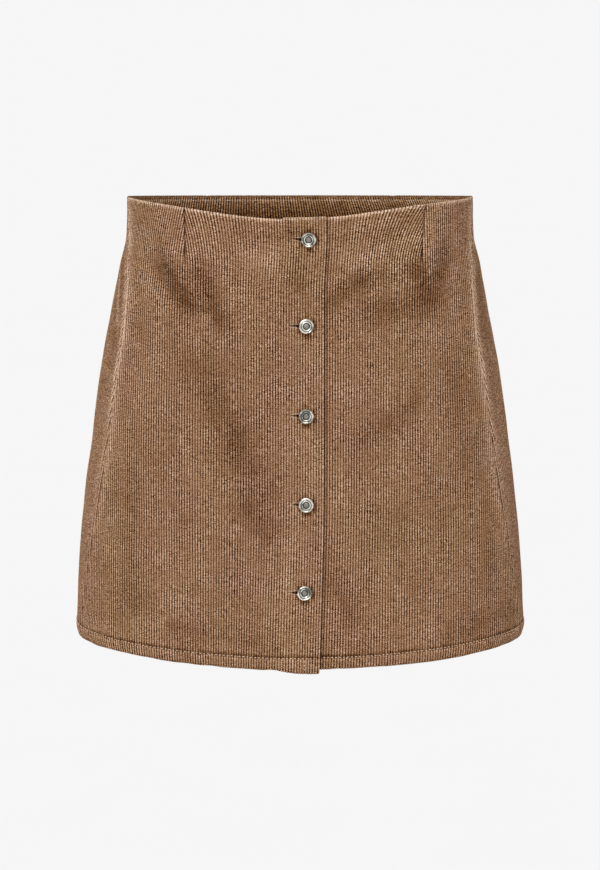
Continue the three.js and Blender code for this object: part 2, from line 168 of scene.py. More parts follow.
# Shade and nap: strokes where the pile is painted darker (strength below 0) or lighter: painted shade along
# the troughs of folds and creases, painted highlight on raised places, and places where handling has brushed
# the pile.
FRONT_SHADE_AND_NAP = [
    ((-119, 55), (-97, 84), 10, -0.40),
    ((-85, 60), (-69, 97), 9, -0.28),
    ((-92, 136), (-54, 198), 18, -0.19),
    ((-52, 214), (-25, 242), 13, -0.13),
    ((-47, 255), (-30, 277), 11, -0.18),
    ((-147, 225), (-147, 298), 11, -0.07),
    ((-150, 334), (-144, 342), 9, -0.14),
    ((-112, 362), (-17, 379), 5, -0.12),
    ((-194, 361), (-144, 351), 6, -0.08),
    ((26, 81), (52, 63), 7, -0.22),
    ((52, 63), (73, 60), 7, -0.16),
    ((60, 90), (97, 87), 12, -0.20),
    ((100, 56), (116, 82), 11, -0.30),
    ((131, 45), (121, 61), 9, -0.20),
    ((137, 138), (145, 224), 12, -0.09),
    ((53, 199), (99, 167), 9, -0.15),
    ((30, 320), (43, 351), 11, -0.13),
    ((131, 369), (196, 357), 9, -0.14),
    ((166, 265), (171, 332), 9, -0.07),
    ((-6, 22), (6, 24), 7, -0.16),
    ((-38, 27), (-8, 25), 3, -0.10),
    ((30, 27), (78, 23), 3, -0.08),
    ((-2, 50), (2, 67), 7, -0.14),
    ((-142, 109), (-155, 98), 7, -0.08),
    ((-42, 44), (-27, 45), 10, 0.18),
    ((39, 46), (69, 42), 8, 0.10),
    ((-170, 12), (-168, 38), 9, 0.26),
    ((116, 19), (115, 40), 4, 0.10),
    ((168, 14), (166, 44), 8, 0.16),
    ((35, 212), (36, 255), 7, 0.08),
]
BACK_SHADE_AND_NAP = [
    ((-100, 92), (-86, 124), 12, -0.20),
    ((98, 96), (84, 128), 12, -0.22),
    ((-46, 150), (12, 178), 12, -0.12),
    ((-34, 226), (-66, 262), 14, -0.10),
    ((32, 262), (86, 238), 13, -0.12),
    ((-70, 27), (70, 26), 3, -0.08),
    ((-20, 60), (24, 66), 12, 0.12),
    ((120, 356), (186, 350), 9, -0.12),
    ((-190, 356), (-120, 364), 8, -0.12),
    ((-10, 330), (40, 346), 14, -0.08),
    ((-130, 180), (-120, 240), 14, -0.08),
    ((136, 150), (144, 220), 14, -0.08),
]

# Buttons sit on the overlap, this far in from its free edge.
BUTTON_INSET = 14.8
BUTTON_DROPS = [28.7] + [101.6 + 76.6 * i for i in range(4)]
BUTTONHOLE_REACH = 15.0
BUTTONHOLE_SLOPE = 0.05
BUTTONHOLE_DEPTH = 1.5
BUTTON_TILTS = ((9, -7), (-3, 4), (2, -4), (-2, -3), (3, 5))  # degrees, about the row and about the skirt

# painted light and shade of the ribs: the crests painted lit and the valleys painted in shade
PLAIN_CONTRAST = 1.34  # how far the ribs stand out in light and dark
# the facings' ribs are painted with stronger light and shade
FACING_CONTRAST = 2.3
FAR = 1e3  # stands for no such edge

FRONT_NODES = ("front_right", "front_left")
TACK_NODES = [f"tack_{i + 1}" for i in range(len(BUTTON_DROPS))]


# ---------------------------------------------------------------- what a user may change


class CordSettings(PropertyGroup):
    """The cloth and its wales."""

    pitch: FloatProperty(
        name="Wale pitch", description="From one rib to the next", default=2.31 * MM, unit="LENGTH"
    )
    relief: FloatProperty(
        name="Relief", description="Height of a rib over its valley", default=0.56 * MM, unit="LENGTH"
    )
    crumple: FloatProperty(
        name="Crumple", description="Height of the soft unevenness", default=0.55 * MM, unit="LENGTH"
    )
    crest: FloatVectorProperty(
        name="Crest",
        description="Colour of the brushed top of a rib",
        default=(0.50, 0.328, 0.215),
        subtype="COLOR",
    )
    # painted shade: a darker, redder crest colour for the facings, which lie in the shade inside the waist
    shaded: FloatVectorProperty(
        name="Facing",
        description="Colour of the ribs on the facings",
        default=(0.50, 0.29, 0.145),
        subtype="COLOR",
    )
    # painted shade: the near-black colour between two ribs, where shade falls
    valley_shade: FloatVectorProperty(
        name="Valley shade", description="Colour between two ribs", default=(0.024, 0.006, 0.0006), subtype="COLOR"
    )
    inside: FloatVectorProperty(
        name="Inside",
        description="Colour of the plain woven wrong side",
        default=(0.20, 0.115, 0.066),
        subtype="COLOR",
    )


class ThreadSettings(PropertyGroup):
    """Sewing thread."""

    stitch: FloatProperty(
        name="Stitch", description="Length of one stitch", default=3.4 * MM, unit="LENGTH"
    )
    thickness: FloatProperty(
        name="Thickness", description="Across the thread", default=0.70 * MM, unit="LENGTH"
    )
    colour: FloatVectorProperty(
        name="Thread", description="Colour of the sewing thread", default=(0.76, 0.56, 0.40), subtype="COLOR"
    )


class ButtonSettings(PropertyGroup):
    """Tack buttons."""

    radius: FloatProperty(
        name="Radius", description="Of the button's rim", default=6.55 * MM, unit="LENGTH"
    )
    sides: IntProperty(name="Sides", description="Divisions round a button", default=56, min=12)
    metal: FloatVectorProperty(
        name="Metal", description="Colour of the plated metal", default=(0.88, 0.85, 0.76), subtype="COLOR"
    )
    recess: FloatVectorProperty(
        name="Recess", description="Colour of the sunk middle", default=(0.055, 0.052, 0.045), subtype="COLOR"
    )


class StageSettings(PropertyGroup):
    """Floor, camera and light."""

    floor: FloatProperty(
        name="Floor", description="Depth of the floor below the waist", default=2.0, unit="LENGTH"
    )
    pale: FloatVectorProperty(
        name="Backdrop", description="Colour behind the skirt", default=(0.92, 0.92, 0.92), subtype="COLOR"
    )
    ambient: FloatProperty(
        name="Ambient", description="Strength of the even light all round", default=0.55, min=0
    )
    lamp: FloatProperty(
        name="Lamp", description="Strength of the soft lamp in front", default=2.05, min=0
    )


SETTINGS = {
    "skirt_cord": CordSettings,
    "skirt_thread": ThreadSettings,
    "skirt_button": ButtonSettings,
    "skirt_stage": StageSettings,
}


# ---------------------------------------------------------------- the form


def ease(x):
    """A smooth step from 0 to 1."""
    x = np.clip(x, 0, 1)
    return x * x * (3 - 2 * x)


def mix(a, b, share):
    """From a at share 0 to b at share 1."""
    return a + (b - a) * share


def bell(away, width):
    """1 where away is 0, and less the further it is from there."""
    return np.exp(-((away / width) ** 2))


def along(table, column, drop):
    """A smooth curve through the rows of a table, with no overshoot between them."""
    at, value = np.array(table["drop"], float), np.array(table[column], float)
    slope = np.diff(value) / np.diff(at)
    before, after = slope[:-1], slope[1:]
    total = np.where(before * after > 0, before + after, 1)
    inner = np.where(before * after > 0, 2 * before * after / total, 0)
    tangent = np.concatenate([slope[:1], inner, slope[-1:]])
    i = np.clip(np.searchsorted(at, drop) - 1, 0, len(at) - 2)
    step = at[i + 1] - at[i]
    t = np.clip((drop - at[i]) / step, 0, 1)
    rest = 1 - t
    ends = rest**2 * (1 + 2 * t) * value[i] + t**2 * (3 - 2 * t) * value[i + 1]
    return ends + step * (t * rest**2 * tangent[i] - t**2 * rest * tangent[i + 1])


LOOK_DROPS = np.arange(-10.0, 416.0)  # the rings are worked out once, for each mm of drop
LOOK_SHARES = np.linspace(0, 1, 361)


def quarter_rings(depth_column):
    """A quarter of each ring from its middle to the side, by share of its length: x, y and that length."""
    angle = np.linspace(0, math.pi / 2, 721)
    half = along(RINGS, "half_width", LOOK_DROPS)[:, None]
    depth = along(RINGS, depth_column, LOOK_DROPS)[:, None]
    power = 2 / along(RINGS, "squareness", LOOK_DROPS)[:, None]
    x = half * np.sin(angle) ** power
    y = depth * np.clip(np.cos(angle), 0, 1) ** power
    run = np.cumsum(np.hypot(np.diff(x, axis=1, prepend=0), np.diff(y, axis=1, prepend=y[:, :1])), axis=1)
    share = run / run[:, -1:]
    across = np.array([np.interp(LOOK_SHARES, s, row) for s, row in zip(share, x)])
    deep = np.array([np.interp(LOOK_SHARES, s, row) for s, row in zip(share, y)])
    return {"x": across, "y": deep, "run": run[:, -1]}


QUARTERS = {"front": quarter_rings("front_depth"), "back": quarter_rings("back_depth")}
OTHER = {"front": "back", "back": "front"}


def quarter_run(line, drop):
    """Distance round a quarter ring."""
    return np.interp(drop, LOOK_DROPS, QUARTERS[line]["run"])


def half_girth(drop):
    """Distance round from the centre front to the centre back."""
    return quarter_run("front", drop) + quarter_run("back", drop)


def read_quarter(line, share, drop):
    """x and y on a quarter ring, read between the worked out ones."""
    row = np.clip(drop - LOOK_DROPS[0], 0, len(LOOK_DROPS) - 1.001)
    column = np.clip(share, 0, 1) * (len(LOOK_SHARES) - 1.001)
    i, j = row.astype(int), column.astype(int)
    down, over = row - i, column - j
    found = []
    for table in (QUARTERS[line]["x"], QUARTERS[line]["y"]):
        upper = mix(table[i, j], table[i, j + 1], over)
        lower = mix(table[i + 1, j], table[i + 1, j + 1], over)
        found.append(mix(upper, lower, down))
    return found


def form_point(line, offset, drop):
    """Spots on the form, in mm."""
    offset, drop = np.broadcast_arrays(np.asarray(offset, float), np.asarray(drop, float))
    run, own = np.abs(offset), quarter_run(line, drop)
    here = read_quarter(line, run / own, drop)
    past = read_quarter(OTHER[line], (half_girth(drop) - run) / quarter_run(OTHER[line], drop), drop)
    beyond = run > own
    facing = -1 if line == "front" else 1
    x = np.sign(offset) * np.where(beyond, past[0], here[0])
    y = facing * np.where(beyond, -past[1], here[1])
    return np.stack([x, y, -drop], axis=-1)


def unit(vectors):
    """Vectors of length 1."""
    return vectors / np.linalg.norm(vectors, axis=-1, keepdims=True)


def form_axes(line, offset, drop):
    """Across (towards the wearer's left), down and out at spots on the form."""
    across = unit(form_point(line, offset + 1, drop) - form_point(line, offset - 1, drop))
    down = unit(form_point(line, offset, drop + 1) - form_point(line, offset, drop - 1))
    out = unit(np.cross(down, across))
    return across, down, out if line == "front" else -out


def side_share(line, offset, drop):
    """0 at the centre front or back, 1 at the side, and whether the spot lies behind."""
    spot = form_point(line, offset, drop)
    share = np.clip(np.abs(spot[..., 0]) / along(RINGS, "half_width", drop), 0, 1)
    return share, spot[..., 1] > 0


def waist_drop(line, offset):
    """The line of the waist, which dips at the front and the back."""
    share, behind = side_share(line, offset, np.zeros_like(offset))
    before = WAIST_DIP["front"] * np.cos(math.pi / 2 * share) ** 2
    before = before - np.sign(offset) * WAIST_SWAY * np.sin(math.pi * share)
    return np.where(behind, WAIST_DIP["back"] * np.sqrt(1 - share**2), before)


def hem_drop(line, offset):
    """The even line of the hem."""
    share, behind = side_share(line, offset, np.full_like(offset, HEM_DROP))
    dip = np.where(behind, HEM_DIP["back"], HEM_DIP["front"])
    return HEM_DROP + dip * (1 - share**HEM_CURVE)


def edge_offset(drop):
    """The free edge of the upper front."""
    return along(OVERLAP_EDGE, "offset", drop)


def seam_offset(line, drop):
    """Where a panel ends at the side seam, from its own centre line."""
    seam = along(SIDE_SEAM, "offset", drop)
    return (seam if line == "front" else half_girth(drop) - seam) - SEAM_GAP / 2


def hem_line(panel, offset):
    """The hem edge, a little uneven. The upper placket hangs below the rest."""
    line = hem_drop(line_of(panel), offset) + 0.45 * soft_noise(offset, offset * 0, (11, 9), 29)
    if panel != "front_right":
        return line
    return line + PLACKET_HANG * ease((offset - edge_offset(np.array(HEM_DROP)) + PLACKET + 8) / 30)


def line_of(panel):
    """The centre line that a panel is measured from."""
    return "back" if panel == "back" else "front"


# ---------------------------------------------------------------- what stands off the form


def soft_noise(across, down, cell, seed):
    """Even, repeatable unevenness from -1 to 1, with lumps about one cell (across, down) wide."""
    lattice = np.random.default_rng(seed).uniform(-1, 1, (64, 64))
    x, y = across / cell[0] + 32, down / cell[1] + 32
    i, j = np.floor(x).astype(int), np.floor(y).astype(int)
    over, under = ease(x - i), ease(y - j)
    rows = [mix(lattice[i % 64, k % 64], lattice[(i + 1) % 64, k % 64], over) for k in (j, j + 1)]
    return mix(rows[0], rows[1], under)


def line_distance(offset, drop, start, end):
    """Distance from the straight line between two spots."""
    run = (end[0] - start[0], end[1] - start[1])
    share = (offset - start[0]) * run[0] + (drop - start[1]) * run[1]
    share = np.clip(share / (run[0] ** 2 + run[1] ** 2), 0, 1)
    return np.hypot(offset - start[0] - share * run[0], drop - start[1] - share * run[1])


def soft_lines(rows, offset, drop):
    """What the rows of a table of soft lines add up to."""
    total = np.zeros_like(offset)
    for start, end, width, strength in rows:
        total = total + strength * bell(line_distance(offset, drop, start, end), width)
    return total


def shade_and_nap_tone(panel, offset, drop):
    """How much lighter or darker the pile is painted: for the way it was brushed, with painted shade in folds
    and creases, under edges and round buttons, and painted highlights.
    """
    tone = soft_lines(BACK_SHADE_AND_NAP if panel == "back" else FRONT_SHADE_AND_NAP, offset, drop)
    above = hem_drop(line_of(panel), offset) - drop
    # painted shade just above the hem stitches where they pucker, and a painted highlight just below them
    puckered = 0.55 + 0.45 * soft_noise(offset, drop, (5.5, 40), 31)
    tone = tone - 0.60 * puckered * bell(above - HEM_FOLD - 1.2, 1.5)
    tone = tone + 0.14 * bell(above - HEM_FOLD + 1.6, 1.3)
    # darker along the hem edge, in patches
    patches_along_hem = 0.5 + 0.5 * soft_noise(offset, drop, (2.6, 9), 33)
    tone = tone - patches_along_hem * bell(np.clip(hem_line(panel, offset) - drop, 0, None), 1.3)
    edge = edge_offset(drop)
    if panel == "back":
        away = seam_offset("back", drop) - np.abs(offset)
        # painted shade on the back beside the side seams, where the cloth turns away, and along its waist
        # edge
        tone = tone - 0.22 * bell(away, 18) * ease((drop - 30) / 25) * ease((190 - drop) / 90)
        tone = tone - 0.35 * bell(drop - waist_edge(panel, offset), 1.6)
    if panel == "front_right":
        # painted highlight on the raised upper placket, and painted shadow round each button
        tone = tone + 0.04 * ease((offset - edge + PLACKET) / 2) * ease((drop - 82) / 26)
        tone = tone - 0.65 * bell(button_away(offset - 0.4, drop - 0.6) - 7.2, 1.0)
    if panel == "front_left":
        # painted shadow of the overlap on the lower front, beside its free edge
        tone = tone - 0.26 * bell(offset - edge - 0.6, 2.2)
    return tone


def rib_contrast(panel, offset, drop):
    """How far the painted light and shade of the ribs stand out: most near the darts, where the cloth is
    stretched over the hips.
    """
    if panel == "back":
        return PLAIN_CONTRAST + 0.25 * ease((70 - drop) / 30)
    left = bell(offset - 92, 42) * bell(drop - 45, 38)
    right = bell(offset + 108, 28) * bell(drop - 68, 30)
    return PLAIN_CONTRAST + 0.65 * left + 0.55 * right


def dart_distance(panel, offset, drop):
    """Distance from the nearest dart seam, below 0 on its side towards the centre line."""
    nearest = np.full_like(offset, FAR)
    for dart in DARTS[panel]:
        top = float(waist_drop(line_of(panel), np.array(float(dart["top"]))))
        away = line_distance(offset, drop, (dart["top"], top), (dart["tip"], top + dart["length"]))
        seam = mix(dart["top"], dart["tip"], np.clip((drop - top) / dart["length"], 0, 1))
        away = np.where(np.abs(offset) < np.abs(seam), -away, away)
        nearest = np.where(np.abs(away) < np.abs(nearest), away, nearest)
    return nearest


def layer_rise(panel, offset, drop):
    """The upper front stands out over the overlap and the lower one gives way under it."""
    edge = edge_offset(drop)
    if panel == "front_right":
        return PLACKET_LIFT * ease((offset - edge + PLACKET + PLACKET_RAMP) / PLACKET_RAMP)
    if panel == "front_left":
        return (PLACKET_LIFT - FOLDED - LAYER_GAP) * ease((edge + 1 + PLACKET_RAMP - offset) / PLACKET_RAMP)
    return np.zeros_like(offset)


def thickness(panel, offset, drop):
    """Of the cloth, which is folded in two in the hem and the plackets."""
    folded = ease((HEM_FOLD - hem_line(panel, offset) + drop) / 1.5)
    if panel == "front_right":
        folded = np.maximum(folded, ease((offset - edge_offset(drop) + PLACKET) / 1.5))
    if panel == "front_left":
        folded = np.maximum(folded, ease((edge_offset(drop) - offset) / 1.5))
    return mix(CLOTH, FOLDED, folded)


def hem_rise(panel, offset, drop):
    """The folded hem stands out a little, its lower edge rolls in and the stitches pull it down."""
    above = hem_drop(line_of(panel), offset) - drop
    up = hem_line(panel, offset) - drop
    band = HEM_BULGE * ease((HEM_FOLD + 2 - above) / 3) - HEM_ROLL * np.clip(1 - up / HEM_FOLD, 0, 1) ** 2
    pull = 0.3 + 0.45 * bell(offset + 12, 42)
    pucker = pull * soft_noise(offset, drop, (5.5, 60), 11) * bell(above - HEM_FOLD, 7)
    return band + pucker - 0.5 * bell(above - HEM_FOLD, 0.9)


def seam_rise(panel, offset, drop):
    """Ridges over the pressed seam allowances, beside the side seams."""
    away = seam_offset(line_of(panel), drop) - np.abs(offset)
    reach = 2.4 if panel == "back" else 3.0
    return 0.45 * bell(away - reach, 1.7) + 0.16 * ease((13 - away) / 2.5)


def placket_rise(panel, offset, drop):
    """The upper placket's inner layer shows as a faint step, and its free edge stands a little proud."""
    if panel != "front_right":
        return np.zeros_like(offset)
    inward = edge_offset(drop) - offset
    step = -0.45 * bell(inward - PLACKET + 1.3, 1.3) + 0.22 * ease((PLACKET - inward) / 2.5)
    dimple = -0.8 * bell(button_away(offset, drop), 6.5)
    return step + 0.12 * bell(inward - 2.5, 2.2) + dimple


def skin_rise(panel, offset, drop):
    """How far the panel's outer face stands off the form, without its ribs."""
    line = line_of(panel)
    folds = FRONT_FOLDS + FRONT_CREASES if line == "front" else BACK_FOLDS + BACK_CREASES
    seam_away = seam_offset(line, drop) - np.abs(offset)
    calm = ease(seam_away / 25) * ease((drop + 4) / 40)
    crumple = soft_noise(offset, drop, (34, 52), 3) + 0.5 * soft_noise(offset, drop, (13, 24), 5)
    crumple = cord().crumple / MM * crumple * calm
    dart_away = dart_distance(panel, offset, drop)
    dart = -0.6 * bell(dart_away, 3) - 0.6 * bell(dart_away, 0.7)
    return (
        layer_rise(panel, offset, drop)
        + soft_lines(folds, offset, drop)
        + crumple
        + dart
        + hem_rise(panel, offset, drop)
        + seam_rise(panel, offset, drop)
        + placket_rise(panel, offset, drop)
    )


def buttonhole_share(offset, drop):
    """1 inside a buttonhole and 0 outside. The shank pulls it open, and it closes towards its far end."""
    share = np.zeros_like(offset)
    for at in BUTTON_DROPS:
        run = offset - edge_offset(np.array(at)) + BUTTON_INSET
        level = at + BUTTONHOLE_SLOPE * run
        half = 0.1 + 1.1 * ease((run + BUTTONHOLE_REACH) / (BUTTONHOLE_REACH - 3))
        ends = ease((run + BUTTONHOLE_REACH) / 1.2) * ease((1.5 - run) / 1.2)
        share = np.maximum(share, ends * ease((half - np.abs(drop - level)) / 0.5 + 0.5))
    return share


def button_away(offset, drop):
    """Distance from the middle of the nearest button."""
    nearest = np.full_like(offset, FAR)
    for at in BUTTON_DROPS:
        middle = edge_offset(np.array(at)) - BUTTON_INSET
        nearest = np.minimum(nearest, np.hypot(offset - middle, drop - at))
    return nearest


def free_edge_away(panel, offset, drop):
    """Distance from the free edge of the upper front, which no other panel has."""
    if panel != "front_right":
        return np.full_like(offset, FAR)
    return edge_offset(drop) - offset


def edge_wear_and_highlight(panel, offset, drop):
    """The free edge of the upper front is painted pale, more in some places than in others: painted highlight
    where the rounded edge catches the light, and wear.
    """
    share = 0.5 + 0.4 * soft_noise(offset, drop, (9, 2.6), 19)
    return share * bell(free_edge_away(panel, offset, drop), 0.9)


def hip_crease(panel, offset, seam_away, drop):
    """A short crease just behind the wearer's right side seam, which it nears as it runs down, painted pale:
    painted highlight along its ridge, and wear.
    """
    if panel != "back":
        return np.zeros_like(offset)
    at = mix(18, 7, (drop - 68) / 50)
    line = bell(seam_away - at, 1.8)
    return np.where(offset < 0, 0.8 * line * ease((drop - 58) / 14) * ease((126 - drop) / 24), 0.0)


WALE_MEAN = 0.62  # of the shape that wale gives


def wale(u):
    """Shape of the ribs across the cloth: 0 in a valley, 1 on a crest."""
    return np.abs(np.sin(math.pi * u * MM / cord().pitch)) ** 0.6


def cord():
    """The settings of the cloth."""
    return bpy.context.scene.skirt_cord


# ---------------------------------------------------------------- threads laid on the form


def laid(darts, line, u, drop):
    """Offsets of the threads u at the given drops once the darts are sewn, which of them a dart takes
    away, and the threads that meet there: the one nearer to the centre line and the one beyond.
    A piece without darts is a facing, whose wales fan out."""
    u, drop = np.broadcast_arrays(u, drop)
    offset, taken, nearer, beyond = u.copy(), np.zeros(u.shape, bool), u.copy(), u.copy()
    if not darts:
        offset = u + (FACING_LEAN * u + FACING_SKEW) * (drop - 10)
    for dart in darts:
        side, centre, top = math.copysign(1, dart["tip"]), abs(dart["tip"]), abs(dart["top"])
        start = waist_drop(line, np.array(float(dart["top"])))
        share = np.clip((drop - start) / dart["length"], 0, 1)
        inner, outer = (dart[part] * (1 - share) ** 1.5 for part in ("inner", "outer"))
        sewn = mix(top, centre, share)
        run = side * u
        towards = run + (sewn - centre + inner) * (np.clip(run, 0, None) / (centre - inner)) ** 2
        inside = (run > centre - inner) & (run < centre + outer)
        moved = np.where(inside, sewn, np.where(run <= centre, towards, run - centre - outer + sewn))
        offset = np.where(run > 0, side * moved, offset)
        taken = taken | inside
        nearer = np.where(inside, side * (centre - inner), nearer)
        beyond = np.where(inside, side * (centre + outer), beyond)
    if line == "front":
        drift = edge_offset(drop) - EDGE_THREAD
        offset = offset + drift * bell(np.abs(u) - EDGE_THREAD, 45)
    return offset, taken, nearer, beyond


def ends_at(panel, inset, drop):
    """Where a panel's two ends lie at a drop. inset keeps a facing clear of the plackets."""
    side = seam_offset(line_of(panel), drop)
    left, right = -side, side
    if panel == "front_right":
        right = edge_offset(drop) - inset
    if panel == "front_left":
        left = edge_offset(drop) - PLACKET + inset
    return left, right


def level_offsets(panel, darts, threads, inset, drop):
    """Offsets of a piece's threads along one level, kept between its ends."""
    offset = laid(darts, line_of(panel), threads, np.full_like(threads, drop))[0]
    return np.clip(offset, *ends_at(panel, inset, drop))


def threads_of(panel, inset, per_wale):
    """The threads whose points make up a piece of cloth, closer together where a placket folds."""
    line = line_of(panel)
    step = cord().pitch / MM / per_wale
    taken = max(dart["inner"] + dart["outer"] for dart in DARTS[panel])
    reach = math.ceil((seam_offset(line, LOOK_DROPS).max() + taken) / step) + 1
    fold = np.array([0, 0.12, 0.42, 0.9])
    first, last = -reach, reach
    start, stop = [], []
    if panel == "front_right":
        edge = EDGE_THREAD - inset
        last = math.floor((edge - 1.3) / step)
        stop = (edge - fold)[::-1]
    if panel == "front_left":
        edge = EDGE_THREAD - PLACKET + inset
        first = math.ceil((edge + 1.3) / step)
        start = edge + fold
    return np.concatenate([start, np.arange(first, last + 1) * step, stop])


SPARSE = 4  # rows that aren't fine have a point at one thread in this many
FINE_ENDS = 6  # but at each of this many threads beside an end


def spread(panel, darts, threads, drop, fine, inset):
    """Lays the threads of a piece out between its two ends, row by row.

    Returns their offsets, the point that each uses in each row, the threads that meet there (seen
    from the centre line and from the side), and the distance to the nearer end. A thread that a seam
    or a dart has taken away uses the point on that seam, and rows that aren't fine use fewer."""
    last = len(threads) - 1
    offset, taken, nearer, beyond = laid(darts, line_of(panel), threads, drop)
    left, right = ends_at(panel, inset, drop)
    gone_left = (offset < left).sum(axis=1) if panel != "front_left" else np.zeros(len(drop), int)
    gone_right = (offset > right).sum(axis=1) if panel != "front_right" else np.zeros(len(drop), int)
    column = np.arange(len(threads))
    first_taken = taken & ~np.roll(taken, 1, axis=1)
    sewn_to = np.maximum.accumulate(np.where(first_taken, column, 0), axis=1)
    point = np.where(taken, sewn_to, column)
    point = np.maximum(point, np.maximum(gone_left, 1)[:, None] - 1)
    point = np.minimum(point, (last + 1 - np.maximum(gone_right, 1))[:, None])
    sparse = np.clip((column + SPARSE // 2) // SPARSE * SPARSE, 0, last)
    sparse = np.where((column < FINE_ENDS) | (column > last - FINE_ENDS), column, sparse)
    point = np.where((point == column) & ~fine[:, None], point[:, sparse], point)

    cut = np.broadcast_to(threads, drop.shape).copy()
    for i in range(len(drop)):
        rising = offset[i] + column * 1e-9
        if gone_left[i]:
            cut[i] = np.maximum(cut[i], np.interp(left[i, gone_left[i]], rising, threads))
        if gone_right[i]:
            cut[i] = np.minimum(cut[i], np.interp(right[i, last - gone_right[i]], rising, threads))
    nearer, beyond = np.where(taken, nearer, cut), np.where(taken, beyond, cut)
    offset = np.where(gone_left[:, None] > 0, np.maximum(offset, left), offset)
    offset = np.where(gone_right[:, None] > 0, np.minimum(offset, right), offset)
    away = np.clip(np.minimum(offset - left, right - offset), 0, None)
    return offset, point, (nearer, beyond), away


def stood_off(line, offset, drop, rise, reach, turn):
    """Points of a wall whose middle stands off the form by rise, at reach from there in each row's turn."""
    place = form_point(line, offset, drop - reach * np.sin(turn))
    out = form_axes(line, offset, drop)[2]
    return place + out * (rise + reach * np.cos(turn))[..., None]


def thinned(half, away, free):
    """Half a wall's thickness near an end, where a free edge rounds off and a seam is pressed flat."""
    share = np.clip(away / half, 0, 1)
    rounded = np.maximum(np.sqrt(1 - (1 - share) ** 2), 0.12)
    return half * np.where(free, rounded, np.where(away < 0.01, 0.7, 1))


def round_lie(drop, half, turn):
    """Distance down the cloth, carried on round its folded edges and up its other side."""
    over = np.abs(turn) > math.pi / 2 + 0.01
    other = drop - np.sign(turn) * half * (math.pi - np.abs(turn))
    return np.where(over, other, drop - half * turn)


# ---------------------------------------------------------------- closed walls of cloth

HEM_TURNS = (30, 60, 90, 120, 150)
WAIST_TURNS = (180, 150, 120, 90, 60, 30)


def unwrapped(values):
    """The four corners of each face between two rows and two threads, round the loop."""
    after = np.roll(values, -1, axis=0)
    return np.stack([values[:, :-1], after[:, :-1], after[:, 1:], values[:, 1:]], axis=-1)


def end_faces(ring, lie, outer_rows, turned):
    """Faces that close one end of a wall, between the points of its outer and its inner face."""
    inner = list(range(outer_rows + len(HEM_TURNS), len(ring) - len(WAIST_TURNS) + 1))
    beside = [int(np.argmin(np.abs(lie[:outer_rows] - lie[row]))) for row in inner]
    faces = [[*range(beside[0], inner[0] + 1)]]
    for i in range(len(inner) - 1):
        faces.append([inner[i + 1], *range(beside[i + 1], beside[i] + 1), inner[i]])
    faces.append([*range(inner[-1], len(ring)), *range(0, beside[-1] + 1)])
    closed = []
    for face in faces:
        points = [int(ring[row]) for row in face]
        points = [p for p, q in zip(points, points[1:] + points[:1]) if p != q]
        if len(points) > 2:
            closed.append(points[::-1] if turned else points)
    return closed


def closed_wall(name, place, point, met, lie, outer_rows, plain_rows, behind, beyond, marks):
    """Makes the mesh of a wall whose rows of points run once round it.

    Points that are alike share one vertex, and faces with no area left are dropped. Rows in
    plain_rows show the smooth side of the cloth, and beyond says which threads lie past a dart."""
    rows, columns = point.shape
    number = np.arange(rows)[:, None] * columns + point
    used, index = np.unique(number, return_inverse=True)
    index = index.reshape(number.shape)

    faces = unwrapped(index).reshape(-1, 4)
    u = np.where(beyond[None, :, None], unwrapped(met[1]), unwrapped(met[0])).reshape(-1, 4)
    v = unwrapped(lie).reshape(-1, 4)
    row = np.repeat(np.arange(rows), columns - 1)
    waist_middle, hem_middle = rows - 3, outer_rows + 2
    inner = (row >= hem_middle) & (row < waist_middle)
    plain = (row >= plain_rows[0]) & (row < plain_rows[1])
    if behind:
        faces, u, v = faces[:, ::-1], u[:, ::-1], v[:, ::-1]
    kept = faces != np.roll(faces, -1, axis=1)
    count = kept.sum(axis=1)
    real = count > 2
    kept, count, inner, plain = kept[real], count[real], inner[real], plain[real]
    corners, u, v = faces[real][kept], u[real][kept], v[real][kept]
    inner = np.repeat(inner, count)

    caps = end_faces(index[:, 0], lie[:, 0], outer_rows, not behind)
    caps += end_faces(index[:, -1], lie[:, -1], outer_rows, behind)
    cap_corners = np.concatenate([np.array(cap) for cap in caps])
    corners = np.concatenate([corners, cap_corners])
    u = np.concatenate([u, met[0].ravel()[used][cap_corners]])
    v = np.concatenate([v, lie.ravel()[used][cap_corners]])
    inner = np.concatenate([inner, np.ones(len(cap_corners), bool)])
    sizes = np.concatenate([count, [len(cap) for cap in caps]])
    plain = np.concatenate([plain, np.zeros(len(caps), bool)])

    mesh = joined_faces(name, place.reshape(-1, 3)[used], corners, sizes, plain)
    flat_maps(mesh, u, v, inner)
    for mark, values in marks.items():
        attribute = mesh.attributes.new(mark, "FLOAT", "POINT")
        attribute.data.foreach_set("value", values.ravel()[used].astype(np.float32))
    mesh.shade_smooth()
    piece = bpy.data.objects.new(name, mesh)
    bpy.context.scene.collection.objects.link(piece)
    return piece


def joined_faces(name, points, corners, sizes, plain):
    """A mesh of points in mm, from the corners of its faces one after another and each face's number."""
    mesh = bpy.data.meshes.new(name)
    mesh.vertices.add(len(points))
    mesh.vertices.foreach_set("co", (points * MM).astype(np.float32).ravel())
    mesh.loops.add(len(corners))
    mesh.loops.foreach_set("vertex_index", corners.astype(np.int32))
    mesh.polygons.add(len(sizes))
    mesh.polygons.foreach_set("loop_start", (np.cumsum(sizes) - sizes).astype(np.int32))
    mesh.polygons.foreach_set("material_index", plain.astype(np.int32))
    mesh.update(calc_edges=True)
    return mesh


